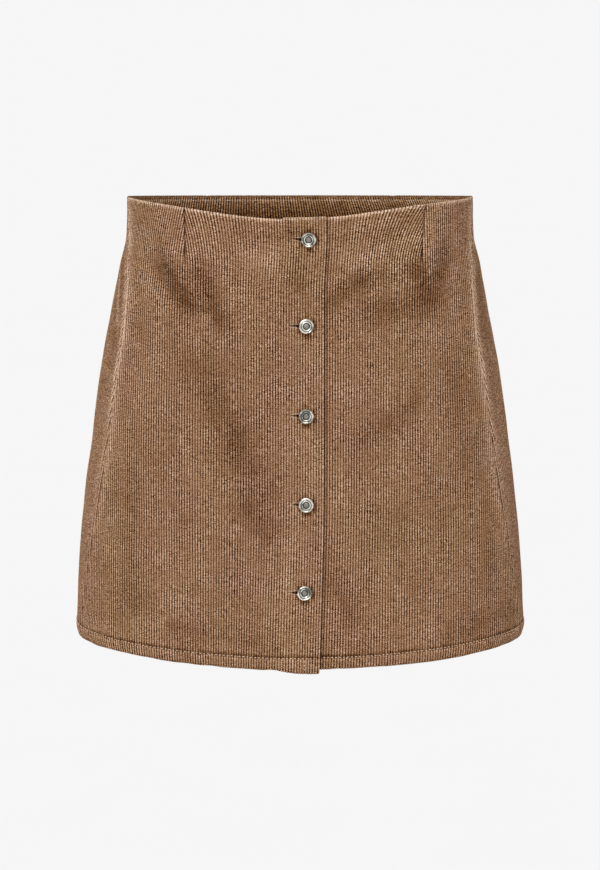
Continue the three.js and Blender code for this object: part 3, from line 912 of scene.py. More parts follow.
def flat_maps(mesh, u, v, inner):
    """The cloth's own map, in metres of the flat cut, and one with both sides laid out in a unit square."""
    bake = mesh.uv_layers.new(name="OFBake")
    across = (u - u.min()) / np.ptp(u)
    down = (v - v.min()) / np.ptp(v)
    across = np.where(inner, 0.70 + 0.29 * across, 0.01 + 0.67 * across)
    bake.data.foreach_set("uv", np.stack([across, 0.99 - 0.98 * down], axis=1).astype(np.float32).ravel())
    cloth = mesh.uv_layers.new(name="cloth")
    cloth.data.foreach_set("uv", (np.stack([u, -v], axis=1) * MM).astype(np.float32).ravel())


# ---------------------------------------------------------------- panels and facings

WAIST_ROWS = (0, 0.7, 1.6, 2.8, 4.4, 6.4)  # from the waist edge
HEM_ROWS = (  # from the hem edge
    0, 1.2, 3.0, 5.5, 8.0, 9.6, 10.4, 11.0, 11.6, 12.4, 13.2, 13.8, 14.4, 15.2, 16.6
)
BETWEEN_ROWS = {"front_right": 96, "front_left": 104, "back": 84}
PER_WALE = {"front_right": 5, "front_left": 5, "back": 4}
LENGTH = 388.0
SLIT_ROWS = (-1.5, -0.85, -0.4, 0.4, 0.85, 1.5)  # from the middle of a buttonhole
SLIT_CLEAR = 2.6  # no other rows lie this near to it


def outer_shares(panel):
    """Rows down a panel's outer face, as shares of the way from the waist edge to the hem."""
    first, last = WAIST_ROWS[-1] / LENGTH, 1 - HEM_ROWS[-1] / LENGTH
    shares = [d / LENGTH for d in WAIST_ROWS] + [1 - d / LENGTH for d in HEM_ROWS]
    shares += list(np.linspace(first, last, BETWEEN_ROWS[panel] + 1)[1:-1])
    if panel == "front_right":
        middle = np.array(-2.0)
        top, foot = float(waist_edge(panel, middle)), float(hem_line(panel, middle))
        for drop in BUTTON_DROPS:
            beside = [(drop + d - top - FOLDED / 2) / (foot - top - FOLDED) for d in (0, *SLIT_ROWS)]
            shares = [s for s in shares if abs(s - beside[0]) * LENGTH > SLIT_CLEAR] + beside[1:]
    return np.array(sorted(shares))


def waist_edge(panel, offset):
    """The waist edge. The many layers of the upper placket make it stand a little higher."""
    edge = waist_drop(line_of(panel), offset)
    if panel != "front_right":
        return edge
    return edge - 1.3 * ease((PLACKET - edge_offset(np.array(10.0)) + offset) / 2)


def panel_rows(panel):
    """Rows once round a panel's wall: share of the way down, turn from out, distance up the turned hem,
    whether every thread has a point, and how much of the ribs shows."""
    outer = outer_shares(panel)
    rows = [(s, 0, 0, 1, 1.0) for s in outer]
    rows += [(1, -turn, 0, 1, 1.0) for turn in HEM_TURNS]
    rows += [(1, -180, up, 1, 0.9) for up in (0, 2, 5, 8, 10.4)]
    rows += [(1, -180, up, 0, 0.0) for up in (11.6, 13)]
    rows += [(s, 180, 0, 0, 0.0) for s in outer[::-3] if 0.01 < s < 1 - 22 / LENGTH]
    rows += [(0, turn, 0, 1, min(1, (180 - turn) / 90)) for turn in WAIST_TURNS]
    return np.array(rows, float), len(outer)


def make_panel(panel):
    """A front or the back as one closed wall, ribbed outside and on its turned hem."""
    line = line_of(panel)
    threads = threads_of(panel, 0, PER_WALE[panel])
    rows, outer_rows = panel_rows(panel)
    share, turn, up, fine, ribs = (rows[:, i][:, None] for i in range(5))
    turn = np.radians(turn)

    at_waist, at_hem = (level_offsets(panel, DARTS[panel], threads, 0, at) for at in (0.0, HEM_DROP))
    top, foot = waist_edge(panel, at_waist), hem_line(panel, at_hem)
    top_half, foot_half = thickness(panel, at_waist, top) / 2, thickness(panel, at_hem, foot) / 2
    drop = mix(top + top_half, foot - foot_half, share) - up

    offset, point, met, away = spread(panel, DARTS[panel], threads, drop, fine[:, 0] > 0, 0)
    full_half = thickness(panel, offset, drop) / 2
    seam_away = seam_offset(line, drop) - np.abs(offset)
    half = thinned(full_half, away, seam_away > away + 1)
    reach = half + ribs * wale_relief(panel, met[0], drop) * np.clip(away / 0.9, 0, 1)
    rise = skin_rise(panel, offset, drop) - full_half
    outside = np.abs(turn) < 0.01
    slit = np.zeros_like(offset)
    if panel == "front_right":
        slit = buttonhole_share(offset, drop) * outside
        reach = reach - BUTTONHOLE_DEPTH * slit
    place = stood_off(line, offset, drop, rise, reach, turn)

    # painted shade in the hem stitch line, the dart seams and the buttonholes
    stitched = 0.35 * bell(hem_drop(line, offset) - drop - HEM_FOLD, 0.8)
    dart_away = dart_distance(panel, offset, drop)
    dart = bell(dart_away, 0.9) * (0.75 + 0.35 * soft_noise(offset, drop, (4, 3.5), 15))
    groove_shade = np.maximum.reduce([stitched * outside, dart * outside, slit])
    # painted highlights, with wear, on the rounded waist edge, the ridges beside the side seams, a hip
    # crease, the sides, beside the darts and along the free edge
    wear_and_highlight = np.maximum.reduce([
        (0.15 if panel == "back" else 0.85) * np.clip(np.sin(turn), 0, 1) * np.ones_like(offset),
        1.25 * bell(seam_away - 1.5, 1.3) * ease((drop - 40) / 25) * ease((225 - drop) / 110),
        hip_crease(panel, offset, seam_away, drop),
        0.22 * bell(seam_away - 4.0, 4.0) * ease((340 - drop) / 120),
        0.25 * bell(dart_away - 1.5, 0.9),
        edge_wear_and_highlight(panel, offset, drop),
        (0.2 if panel == "back" else 0.85) * bell(drop - waist_edge(panel, offset), 1.8),
    ])
    marks = {
        "groove_shade": groove_shade,
        "wear_and_highlight": wear_and_highlight * (1 - groove_shade),
        "shade_and_nap": shade_and_nap_tone(panel, offset, drop),
        "contrast": rib_contrast(panel, offset, drop),
    }
    plain_rows = (outer_rows + len(HEM_TURNS) + 4, len(rows) - len(WAIST_TURNS))
    beyond = past_dart(DARTS[panel], threads)
    lie = round_lie(drop, half, turn)
    name = "cord_" + panel
    wall = closed_wall(name, place, point, met, lie, outer_rows, plain_rows, line == "back", beyond, marks)
    return wall, *flat_cut(met[0][: outer_rows + len(HEM_TURNS) + 5], lie[: outer_rows + len(HEM_TURNS) + 5])


def flat_cut(u, lie):
    """Width and length of a piece's flat cut and its area, in metres, round the outside of its rows."""
    round_u = np.concatenate([u[:, 0], u[-1], u[::-1, -1], u[0, ::-1]]) * MM
    round_v = np.concatenate([lie[:, 0], lie[-1], lie[::-1, -1], lie[0, ::-1]]) * MM
    area = abs(np.sum(round_u * np.roll(round_v, -1) - round_v * np.roll(round_u, -1))) / 2
    return (float(np.ptp(round_u)), float(np.ptp(round_v))), float(area)


def past_dart(darts, threads):
    """Which of the strips between two threads lie on the side of a dart that is away from the centre."""
    middle = np.abs(threads[:-1] + threads[1:]) / 2
    return middle > (abs(darts[0]["tip"]) if darts else np.inf)


def wale_relief(panel, u, drop):
    """Height of the ribs over their mean. Each has its own height, and the pile is crushed in places."""
    seed = {"front_right": 21, "front_left": 22, "back": 23}[panel]
    number = np.floor(u * MM / cord().pitch).astype(int)
    own = np.random.default_rng(seed).uniform(0.85, 1.08, 512)[number % 512]
    crushed = 0.86 + 0.16 * soft_noise(u, drop, (15, 34), seed)
    crushed = crushed + 0.10 * soft_noise(u, drop, (2.31, 5.5), seed + 40)
    return cord().relief / MM * own * crushed * (wale(u) - WALE_MEAN)


FACING_ROWS = 19
FACING_HIDDEN_ROWS = 5
FACING_SPARE = 8  # threads this far past a facing's ends are kept, for the ends to be cut from


def make_facing(panel):
    """A facing lies against the inside of its panel just below the waist edge, ribbed side in."""
    line = line_of(panel)
    inset = PLACKET + 1.5 if line == "front" else 0
    left, right = ends_at(panel, inset, FACING_DEPTH - 2)
    threads = threads_of(panel, inset, 4)
    threads = threads[(threads > left - FACING_SPARE) & (threads < right + FACING_SPARE)]
    half = CLOTH / 2
    rows = [(s, 0, 0, 0.0) for s in np.linspace(0, 1, FACING_HIDDEN_ROWS)]
    rows += [(1, -turn, 1, max(0, turn / 90 - 1)) for turn in HEM_TURNS]
    rows += [(s, 180, 1, 1.0) for s in np.linspace(1, 0, FACING_ROWS)[:-1] ** 1.3]
    rows += [(0, turn, 1, 1.0) for turn in WAIST_TURNS]
    rows = np.array(rows, float)
    share, turn, fine, ribs = (rows[:, i][:, None] for i in range(4))
    turn = np.radians(turn)

    top = waist_drop(line, level_offsets(panel, [], threads, inset, 0.0)) + FACING_START
    drop = mix(top + half, top + FACING_DEPTH - FACING_START - half, share)
    offset, point, met, away = spread(panel, [], threads, drop, fine[:, 0] > 0, inset)
    thin = thinned(np.full_like(offset, half), away, seam_offset(line, drop) - np.abs(offset) > away + 1)
    reach = thin + ribs * wale_relief(panel, met[0], drop) * np.clip(away / 0.9, 0, 1)
    under = thickness(panel, offset, drop) + LAYER_GAP
    rise = skin_rise(panel, offset, drop) - under - half
    place = stood_off(line, offset, drop, rise, reach, turn)
    below = drop - top
    # painted highlight just below the top edge and over the upper facing, painted shade deepening down the
    # facing and at its top edge, and painted shade at its ends
    wear_and_highlight = np.maximum(0.8 * bell(below - 2.6, 0.8), 0.10 * ease((FACING_DEPTH - below) / 12))
    shade_and_nap = 0.02 - 0.42 * ease(below / (FACING_DEPTH - 4)) - 0.35 * bell(below - 0.3, 1.2)
    groove_shade = 0.8 * bell(away, 0.5)
    marks = {"groove_shade": groove_shade, "wear_and_highlight": wear_and_highlight, "shade_and_nap": shade_and_nap, "contrast": np.full_like(shade_and_nap, FACING_CONTRAST)}
    lie = round_lie(drop, thin, turn)
    beyond = past_dart([], threads)
    name = "cord_facing_" + panel
    plain_rows = (0, FACING_HIDDEN_ROWS)
    wall = closed_wall(
        name, place, point, met, lie, FACING_HIDDEN_ROWS, plain_rows, line == "back", beyond, marks
    )
    return wall, *flat_cut(met[0][:FACING_HIDDEN_ROWS], lie[:FACING_HIDDEN_ROWS])


# ---------------------------------------------------------------- sewing thread


def thread():
    """The settings of the sewing thread."""
    return bpy.context.scene.skirt_thread


def select_only(objects):
    """Selects objects, the first of them active."""
    bpy.ops.object.select_all(action="DESELECT")
    for each in objects:
        each.select_set(True)
    bpy.context.view_layer.objects.active = objects[0]


def select_where(piece, test):
    """Selects the vertices of a piece in edit mode that pass a test of their place."""
    bpy.ops.mesh.select_mode(type="VERT")
    bpy.ops.mesh.select_all(action="DESELECT")
    net = bmesh.from_edit_mesh(piece.data)
    for vertex in net.verts:
        vertex.select_set(test(vertex.co))
    net.select_flush_mode()
    bmesh.update_edit_mesh(piece.data)


def thread_model():
    """One stitch: a short plump length of thread along X whose ends dive into the cloth."""
    half, thick = thread().stitch * 0.30, thread().thickness
    bpy.ops.object.select_all(action="DESELECT")
    bpy.ops.mesh.primitive_uv_sphere_add(segments=6, ring_count=6, radius=1, rotation=(0, math.pi / 2, 0))
    piece = bpy.context.object
    bpy.ops.object.transform_apply(location=False, rotation=True, scale=False)
    bpy.ops.object.mode_set(mode="EDIT")
    bpy.ops.mesh.select_all(action="SELECT")
    bpy.ops.transform.resize(value=(half, thick / 2, thick / 2), center_override=(0, 0, 0))
    select_where(piece, lambda co: abs(co.x) > 0.7 * half)
    bpy.ops.transform.translate(value=(0, 0, -0.45 * thick))
    bpy.ops.object.mode_set(mode="OBJECT")
    bpy.ops.object.shade_smooth()
    return piece


def placement(at, x_axis, z_axis, size=(1, 1, 1)):
    """Where a copy goes, from the directions of its own X and Z axes."""
    z = Vector(z_axis).normalized()
    y = z.cross(Vector(x_axis)).normalized()
    turned = Matrix((y.cross(z), y, z)).transposed().to_4x4()
    return Matrix.Translation(at) @ turned @ Matrix.Diagonal((*size, 1))


def joined_copies(name, model, placements):
    """Copies of a model, each with its own mesh, made into one piece. The model itself goes."""
    copies = []
    for place in placements:
        copy = model.copy()
        copy.data = model.data.copy()
        copy.matrix_world = place
        bpy.context.scene.collection.objects.link(copy)
        copies.append(copy)
    bpy.data.objects.remove(model)
    select_only(copies)
    if len(copies) > 1:
        bpy.ops.object.join()
    bpy.ops.object.transform_apply(location=True, rotation=True, scale=True)
    piece = bpy.context.view_layer.objects.active
    piece.name = name
    return piece


def on_panel(panel, offset, drop, lift):
    """Spots over a panel's outer face, in metres, and the face's axes there: across, down and out."""
    axes = form_axes(line_of(panel), offset, drop)
    spot = form_point(line_of(panel), offset, drop)
    return (spot + axes[2] * (skin_rise(panel, offset, drop) + lift)[..., None]) * MM, axes


def hem_stitches(panel):
    """Places of the stitches along the top of a panel's hem, where they aren't covered."""
    line = line_of(panel)
    step = thread().stitch / MM
    start, stop = (float(end) for end in ends_at(panel, 0, HEM_DROP))
    if panel == "front_left":
        start = float(edge_offset(HEM_DROP)) + 1
    count = int((stop - start - 2) / step)
    offset = start + 1 + step * (np.arange(count) + 0.5)
    drop = hem_drop(line, offset) - HEM_FOLD
    at, (across, down, out) = on_panel(panel, offset, drop, 0.5)
    slope = (hem_drop(line, offset + 1) - hem_drop(line, offset - 1)) / 2
    run = across + down * slope[:, None]
    return [placement(*one) for one in zip(at, run, out)]


def placket_stitches():
    """The short row that closes the lower end of the upper placket."""
    step = thread().stitch / MM
    offset = np.full(3, 4.0)
    drop = hem_drop("front", offset) - HEM_FOLD + 1.2 + step * (np.arange(3) + 0.5)
    at, (_, down, out) = on_panel("front_right", offset, drop, -0.1)
    return [placement(*one) for one in zip(at, down, out)]


def buttonhole_bars():
    """Places of the bar stitches on both sides of each buttonhole, frayed by wear."""
    rng = np.random.default_rng(8)
    places = []
    for at in BUTTON_DROPS:
        middle = float(edge_offset(at)) - BUTTON_INSET
        run = np.arange(1.0 - BUTTONHOLE_REACH, -3.0, 0.62)
        for side in (-1, 1):
            spread_out = 0.85 + 1.0 * ease((run + BUTTONHOLE_REACH) / (BUTTONHOLE_REACH - 4))
            drop = at + BUTTONHOLE_SLOPE * run + side * (spread_out + rng.uniform(-0.15, 0.35, len(run)))
            offset = middle + run + rng.uniform(-0.15, 0.15, len(run))
            where, (across, down, out) = on_panel("front_right", offset, drop, 0.1)
            lean = across * rng.uniform(-0.7, 0.3, len(run))[:, None] * side
            for one in zip(where, down + lean, out, rng.uniform(0.25, 0.75, len(run))):
                places.append(placement(*one[:3], size=(one[3], 0.45, 0.6)))
    return places


# ---------------------------------------------------------------- buttons

BUTTON_PROFILE = {  # from the foot of the shank to the middle of the face; height over the cloth
    "radius": (
        2.0, 2.2, 2.2, 5.6, 6.3, 6.6, 6.4, 6.0, 5.5, 5.0, 4.75, 4.6,
        4.3, 4.15, 3.85, 3.45, 3.1, 2.95, 2.3, 2.15, 1.9, 0.5,
    ),
    "height": (
        -2.9, -2.7, 0.4, 0.45, 0.75, 1.35, 1.95, 2.35, 2.52, 2.4, 2.1, 1.75,
        1.7, 1.95, 2.15, 2.15, 1.95, 1.55, 1.45, 1.7, 1.8, 1.82,
    ),
}


def button_model():
    """A tack button: a ring drawn out through its profile, from the shank up to the sunk middle."""
    look = bpy.context.scene.skirt_button
    scale = look.radius / max(BUTTON_PROFILE["radius"])
    radius, height = (np.array(BUTTON_PROFILE[c]) * s for c, s in (("radius", scale), ("height", MM)))
    bpy.ops.object.select_all(action="DESELECT")
    bpy.ops.mesh.primitive_circle_add(
        vertices=look.sides, radius=radius[0], fill_type="NGON", location=(0, 0, height[0])
    )
    piece = bpy.context.object
    bpy.ops.object.transform_apply(location=True, rotation=False, scale=False)
    bpy.ops.object.mode_set(mode="EDIT")
    bpy.ops.mesh.select_all(action="SELECT")
    for i in range(1, len(radius)):
        bpy.ops.mesh.extrude_region_move(TRANSFORM_OT_translate={"value": (0, 0, height[i] - height[i - 1])})
        grow = radius[i] / radius[i - 1]
        bpy.ops.transform.resize(value=(grow, grow, 1), center_override=(0, 0, height[i]))
    bpy.ops.mesh.select_all(action="SELECT")
    bpy.ops.mesh.normals_make_consistent(inside=False)
    bpy.ops.object.mode_set(mode="OBJECT")
    bpy.ops.object.shade_smooth_by_angle(angle=math.radians(50))
    ring = piece.data.attributes.new("ring", "FLOAT", "POINT")
    ring.data.foreach_set("value", [math.hypot(v.co.x, v.co.y) / look.radius for v in piece.data.vertices])
    return piece


def button_place(number):
    """A button on its stand, leaning a little as the pull of the cloth leaves it."""
    drop = np.array(BUTTON_DROPS[number])
    offset = edge_offset(drop) - BUTTON_INSET
    at, (across, _, out) = on_panel("front_right", offset, drop, 0.0)
    about_row, about_skirt = (math.radians(t) for t in BUTTON_TILTS[number])
    lean = Matrix.Rotation(about_row, 4, "X") @ Matrix.Rotation(about_skirt, 4, "Y")
    return placement(at, across, out) @ lean


# ---------------------------------------------------------------- materials


def node(tree, kind, inputs=(), **settings):
    """Adds a node. inputs holds a value, or the socket that feeds it, for each input's name or number."""
    made = tree.nodes.new(kind)
    for name, value in settings.items():
        setattr(made, name, value)
    for key, value in dict(inputs).items():
        if isinstance(value, bpy.types.NodeSocket):
            tree.links.new(value, made.inputs[key])
        else:
            made.inputs[key].default_value = value
    return made


def calc(tree, operation, *values):
    """The result of a sum."""
    return node(tree, "ShaderNodeMath", enumerate(values), operation=operation).outputs[0]


def blend(tree, share, a, b, how="MIX"):
    """Mixes two colours."""
    made = node(tree, "ShaderNodeMix", data_type="RGBA", blend_type=how, clamp_factor=True)
    for socket, value in zip((made.inputs[0], made.inputs[6], made.inputs[7]), (share, a, b)):
        if isinstance(value, bpy.types.NodeSocket):
            tree.links.new(value, socket)
        else:
            socket.default_value = value
    return made.outputs[2]


def speckle(tree, spot, scale, detail=2.0, rough=0.5):
    """Even noise from 0 to 1 whose lumps are 1 / scale long in each direction."""
    stretched = node(tree, "ShaderNodeVectorMath", {0: spot, 1: scale}, operation="MULTIPLY").outputs[0]
    inputs = {"Vector": stretched, "Scale": 1.0, "Detail": detail, "Roughness": rough}
    return node(tree, "ShaderNodeTexNoise", inputs).outputs["Fac"]


def ranged(tree, value, low, high, to_low=0.0, to_high=1.0):
    """A value carried from one range to another, and held at its ends."""
    made = node(tree, "ShaderNodeMapRange", {0: value, 1: low, 2: high, 3: to_low, 4: to_high})
    return made.outputs[0]


def channels(tree, red, green, blue):
    """A colour from its three channels."""
    return node(tree, "ShaderNodeCombineColor", {0: red, 1: green, 2: blue}).outputs[0]


def bumped(tree, strength, distance, height):
    """The normal of a surface with fine relief."""
    inputs = {"Strength": strength, "Distance": distance, "Height": height}
    return node(tree, "ShaderNodeBump", inputs).outputs[0]


def group_frame(name, inputs, outputs):
    """An empty node group with the named inputs (with defaults) and outputs."""
    tree = bpy.data.node_groups.new(name, "ShaderNodeTree")
    kinds = {"colour": "NodeSocketColor", "value": "NodeSocketFloat", "vector": "NodeSocketVector"}
    for label, kind, default in inputs:
        socket = tree.interface.new_socket(label, in_out="INPUT", socket_type=kinds[kind])
        if default is not None:
            socket.default_value = default
    for label, kind in outputs:
        tree.interface.new_socket(label, in_out="OUTPUT", socket_type=kinds[kind])
    return tree, node(tree, "NodeGroupInput").outputs, node(tree, "NodeGroupOutput").inputs


def pile_group():
    """Brushed ribs: painted highlights in tufts along each crest, painted shade in the valleys, and crushed
    and brushed places.
    """
    if "Cord pile" in bpy.data.node_groups:
        return bpy.data.node_groups["Cord pile"]
    tree, given, made = group_frame(
        "Cord pile",
        [
            ("Cloth", "vector", None),
            ("Pitch", "value", 2.31 * MM),
            ("Crest", "colour", (0.5, 0.3, 0.16, 1)),
            ("Valley shade", "colour", (0.02, 0.01, 0.003, 1)),
            ("Contrast", "value", 1.0),
            ("Groove shade", "value", 0.0),
            ("Wear and highlight", "value", 0.0),
            ("Shade and nap", "value", 0.0),
        ],
        [("Colour", "colour"), ("Roughness", "value"), ("Height", "value")],
    )
    cloth = given["Cloth"]
    across, along_wale = node(tree, "ShaderNodeSeparateXYZ", {0: cloth}).outputs[:2]
    waver = ranged(tree, speckle(tree, cloth, (900, 420, 1)), 0, 1, -0.24, 0.24)
    wales = calc(tree, "ADD", calc(tree, "DIVIDE", across, given["Pitch"]), waver)
    rib = calc(tree, "ABSOLUTE", calc(tree, "SINE", calc(tree, "MULTIPLY", wales, math.pi)))
    rib = calc(tree, "POWER", rib, 1.5)

    own = calc(tree, "MULTIPLY", calc(tree, "FLOOR", wales), 17.3)
    row = node(tree, "ShaderNodeCombineXYZ", {0: own, 1: along_wale, 2: 0.0}).outputs[0]
    # tufts give painted highlights on the crests, and pits give painted shade down the valleys
    tufts = ranged(tree, speckle(tree, row, (1, 1150, 1), 0.0), 0.3, 0.7)
    pits = ranged(tree, speckle(tree, row, (3, 1050, 3), 0.0), 0.3, 0.7)
    grain = ranged(tree, speckle(tree, cloth, (2600, 2000, 1), 0.0), 0.3, 0.7)
    glint = ranged(tree, tufts, 0, 1, 0.26, 0.72)
    crest = calc(tree, "MULTIPLY", rib, glint)
    pit = ranged(tree, calc(tree, "POWER", pits, 2.0), 0, 1, 0.12, 1.0)
    dip = calc(tree, "MULTIPLY", calc(tree, "SUBTRACT", 1.0, rib), pit)
    lit = calc(tree, "ADD", calc(tree, "SUBTRACT", crest, dip), 0.285)
    crushed = ranged(tree, speckle(tree, cloth, (75, 48, 1), 2.0), 0.40, 0.62, 1.10, 0.55)
    crisp = calc(tree, "MULTIPLY", crushed, given["Contrast"])
    lit = calc(tree, "MULTIPLY_ADD", calc(tree, "SUBTRACT", lit, 0.45), crisp, 0.44)
    lit = calc(tree, "ADD", lit, ranged(tree, grain, 0, 1, -0.62, 0.62))
    bruise = ranged(tree, speckle(tree, cloth, (170, 95, 1), 2.0), 0.3, 0.7, -0.02, 0.02)
    drift = ranged(tree, speckle(tree, cloth, (30, 17, 1), 2.0), 0.3, 0.7, -0.05, 0.05)
    lit = calc(tree, "ADD", lit, calc(tree, "ADD", bruise, drift))
    # painted shade and highlight from the shade-and-nap mark
    lit = calc(tree, "MULTIPLY_ADD", given["Shade and nap"], 0.38, lit)
    # wear and painted highlight make the crests paler
    crest_weight = calc(tree, "MULTIPLY_ADD", rib, 0.6, 0.4)
    pale_wear_and_highlight = calc(tree, "MULTIPLY", crest_weight, ranged(tree, tufts, 0, 1, 0.4, 1.4))
    pale_wear_and_highlight = calc(tree, "MULTIPLY", given["Wear and highlight"], pale_wear_and_highlight)
    lit = calc(tree, "MULTIPLY_ADD", pale_wear_and_highlight, 0.7, lit)
    # painted shade in the grooves
    lit = calc(tree, "MAXIMUM", calc(tree, "MULTIPLY_ADD", given["Groove shade"], -0.4, lit), 0.0)
    deeper = channels(tree, lit, calc(tree, "POWER", lit, 1.3), calc(tree, "POWER", lit, 1.75))
    colour = blend(tree, 1.0, blend(tree, 1.0, given["Crest"], deeper, "MULTIPLY"), given["Valley shade"], "ADD")
    olive = ranged(tree, speckle(tree, cloth, (16, 9, 1), 2.0), 0.35, 0.65)
    hue = blend(tree, olive, (1.015, 0.98, 1.04, 1), (0.985, 0.997, 0.94, 1))
    colour = blend(tree, 1.0, colour, hue, "MULTIPLY")
    colour = blend(tree, calc(tree, "MULTIPLY", pale_wear_and_highlight, 0.6), colour, (0.74, 0.54, 0.40, 1))
    # painted shade from the grooves, the folds and the nap, which turns redder as it darkens
    shade = calc(tree, "MULTIPLY_ADD", given["Groove shade"], -0.5, 1.0)
    shade = calc(tree, "MAXIMUM", calc(tree, "MULTIPLY_ADD", given["Shade and nap"], 0.95, shade), 0.1)
    shade = channels(tree, shade, calc(tree, "POWER", shade, 1.25), calc(tree, "POWER", shade, 1.6))
    tree.links.new(blend(tree, 1.0, colour, shade, "MULTIPLY"), made["Colour"])
    tree.links.new(ranged(tree, lit, 0, 1, 0.98, 0.82), made["Roughness"])
    height = calc(tree, "MULTIPLY_ADD", rib, 0.6, calc(tree, "MULTIPLY", tufts, 0.6))
    tree.links.new(calc(tree, "MULTIPLY_ADD", grain, 0.3, height), made["Height"])
    return tree


def cloth_finish(name, group, inputs, sheen, tint, depth):
    """A cloth material round a node group, with the group's own values."""
    material = bpy.data.materials.new(name)
    material.use_nodes = True
    tree = material.node_tree
    tree.nodes.clear()
    spot = node(tree, "ShaderNodeUVMap", uv_map="cloth").outputs[0]
    pattern = node(tree, "ShaderNodeGroup", node_tree=group)
    tree.links.new(spot, pattern.inputs["Cloth"])
    for key, value in inputs.items():
        if isinstance(value, str):
            mark = node(tree, "ShaderNodeAttribute", attribute_name=value).outputs["Fac"]
            tree.links.new(mark, pattern.inputs[key])
        else:
            pattern.inputs[key].default_value = value
    shader = node(
        tree,
        "ShaderNodeBsdfPrincipled",
        {
            "Base Color": pattern.outputs["Colour"],
            "Roughness": pattern.outputs["Roughness"],
            "Specular IOR Level": 0.02,
            "Sheen Weight": sheen,
            "Sheen Roughness": 0.45,
            "Sheen Tint": (*tint, 1),
            "Normal": bumped(tree, 0.6, depth, pattern.outputs["Height"]),
        },
    )
    node(tree, "ShaderNodeOutputMaterial", {"Surface": shader.outputs[0]})
    return material


def ribbed(name, crest, sheen):
    """The corduroy, with the colour of its crests and the strength of its sheen."""
    if name not in bpy.data.materials:
        look = cord()
        inputs = {
            "Pitch": look.pitch,
            "Crest": (*crest, 1),
            "Valley shade": (*look.valley_shade, 1),
            "Contrast": "contrast",
            "Groove shade": "groove_shade",
            "Wear and highlight": "wear_and_highlight",
            "Shade and nap": "shade_and_nap",
        }
        cloth_finish(name, pile_group(), inputs, sheen, (0.95, 0.57, 0.26), 0.25 * MM)
    return bpy.data.materials[name]


def weave_group():
    """A plain weave: threads that pass over and under one another."""
    if "Plain weave" in bpy.data.node_groups:
        return bpy.data.node_groups["Plain weave"]
    tree, given, made = group_frame(
        "Plain weave",
        [("Cloth", "vector", None), ("Yarn", "value", 0.55 * MM), ("Colour", "colour", (0.2, 0.1, 0.06, 1))],
        [("Colour", "colour"), ("Roughness", "value"), ("Height", "value")],
    )
    cloth = given["Cloth"]
    parts = node(tree, "ShaderNodeSeparateXYZ", {0: cloth}).outputs
    turns = [calc(tree, "DIVIDE", calc(tree, "MULTIPLY", parts[i], math.pi), given["Yarn"]) for i in (0, 1)]
    over = calc(tree, "MULTIPLY", *(calc(tree, "SINE", turn) for turn in turns))
    weave = ranged(tree, over, -1, 1, 0.0, 1.0)
    drift = speckle(tree, cloth, (60, 40, 1), 3.0)
    fluff = speckle(tree, cloth, (900, 900, 1), 2.0)
    lit = ranged(tree, weave, 0, 1, 0.72, 1.12)
    for patches in (drift, fluff):
        lit = calc(tree, "MULTIPLY", lit, ranged(tree, patches, 0.3, 0.7, 0.86, 1.12))
    shade = channels(tree, lit, lit, lit)
    tree.links.new(blend(tree, 1.0, given["Colour"], shade, "MULTIPLY"), made["Colour"])
    tree.links.new(ranged(tree, weave, 0, 1, 0.95, 0.85), made["Roughness"])
    tree.links.new(calc(tree, "ADD", weave, fluff), made["Height"])
    return tree


def wrong_side():
    """The plain woven side of the cloth."""
    if "Corduroy wrong side" not in bpy.data.materials:
        inputs = {"Colour": (*cord().inside, 1)}
        cloth_finish("Corduroy wrong side", weave_group(), inputs, 0.1, (0.9, 0.7, 0.55), 0.12 * MM)
    return bpy.data.materials["Corduroy wrong side"]


def plain_finish(name, build):
    """A material that reads Object coordinates. build adds its nodes and gives the shader's inputs."""
    if name not in bpy.data.materials:
        material = bpy.data.materials.new(name)
        material.use_nodes = True
        tree = material.node_tree
        tree.nodes.clear()
        spot = node(tree, "ShaderNodeTexCoord").outputs["Object"]
        shader = node(tree, "ShaderNodeBsdfPrincipled", build(tree, spot))
        node(tree, "ShaderNodeOutputMaterial", {"Surface": shader.outputs[0]})
    return bpy.data.materials[name]


def thread_finish():
    """Sewing thread, twisted."""

    def build(tree, spot):
        twist = node(tree, "ShaderNodeVectorMath", {0: spot, 1: (1, 0.3, 1)}, operation="DOT_PRODUCT")
        turns = calc(tree, "MULTIPLY", twist.outputs["Value"], 14000)
        strand = ranged(tree, calc(tree, "SINE", turns), -1, 1, 0.7, 1.15)
        patch = ranged(tree, speckle(tree, spot, (300, 300, 300)), 0.3, 0.7, 0.7, 1.2)
        lit = calc(tree, "MULTIPLY", strand, patch)
        shade = channels(tree, lit, lit, lit)
        return {
            "Base Color": blend(tree, 1.0, (*thread().colour, 1), shade, "MULTIPLY"),
            "Roughness": ranged(tree, strand, 0.7, 1.15, 0.8, 0.6),
            "Specular IOR Level": 0.3,
            "Sheen Weight": 0.15,
            "Normal": bumped(tree, 0.4, 0.05 * MM, strand),
        }

    return plain_finish("Sewing thread", build)


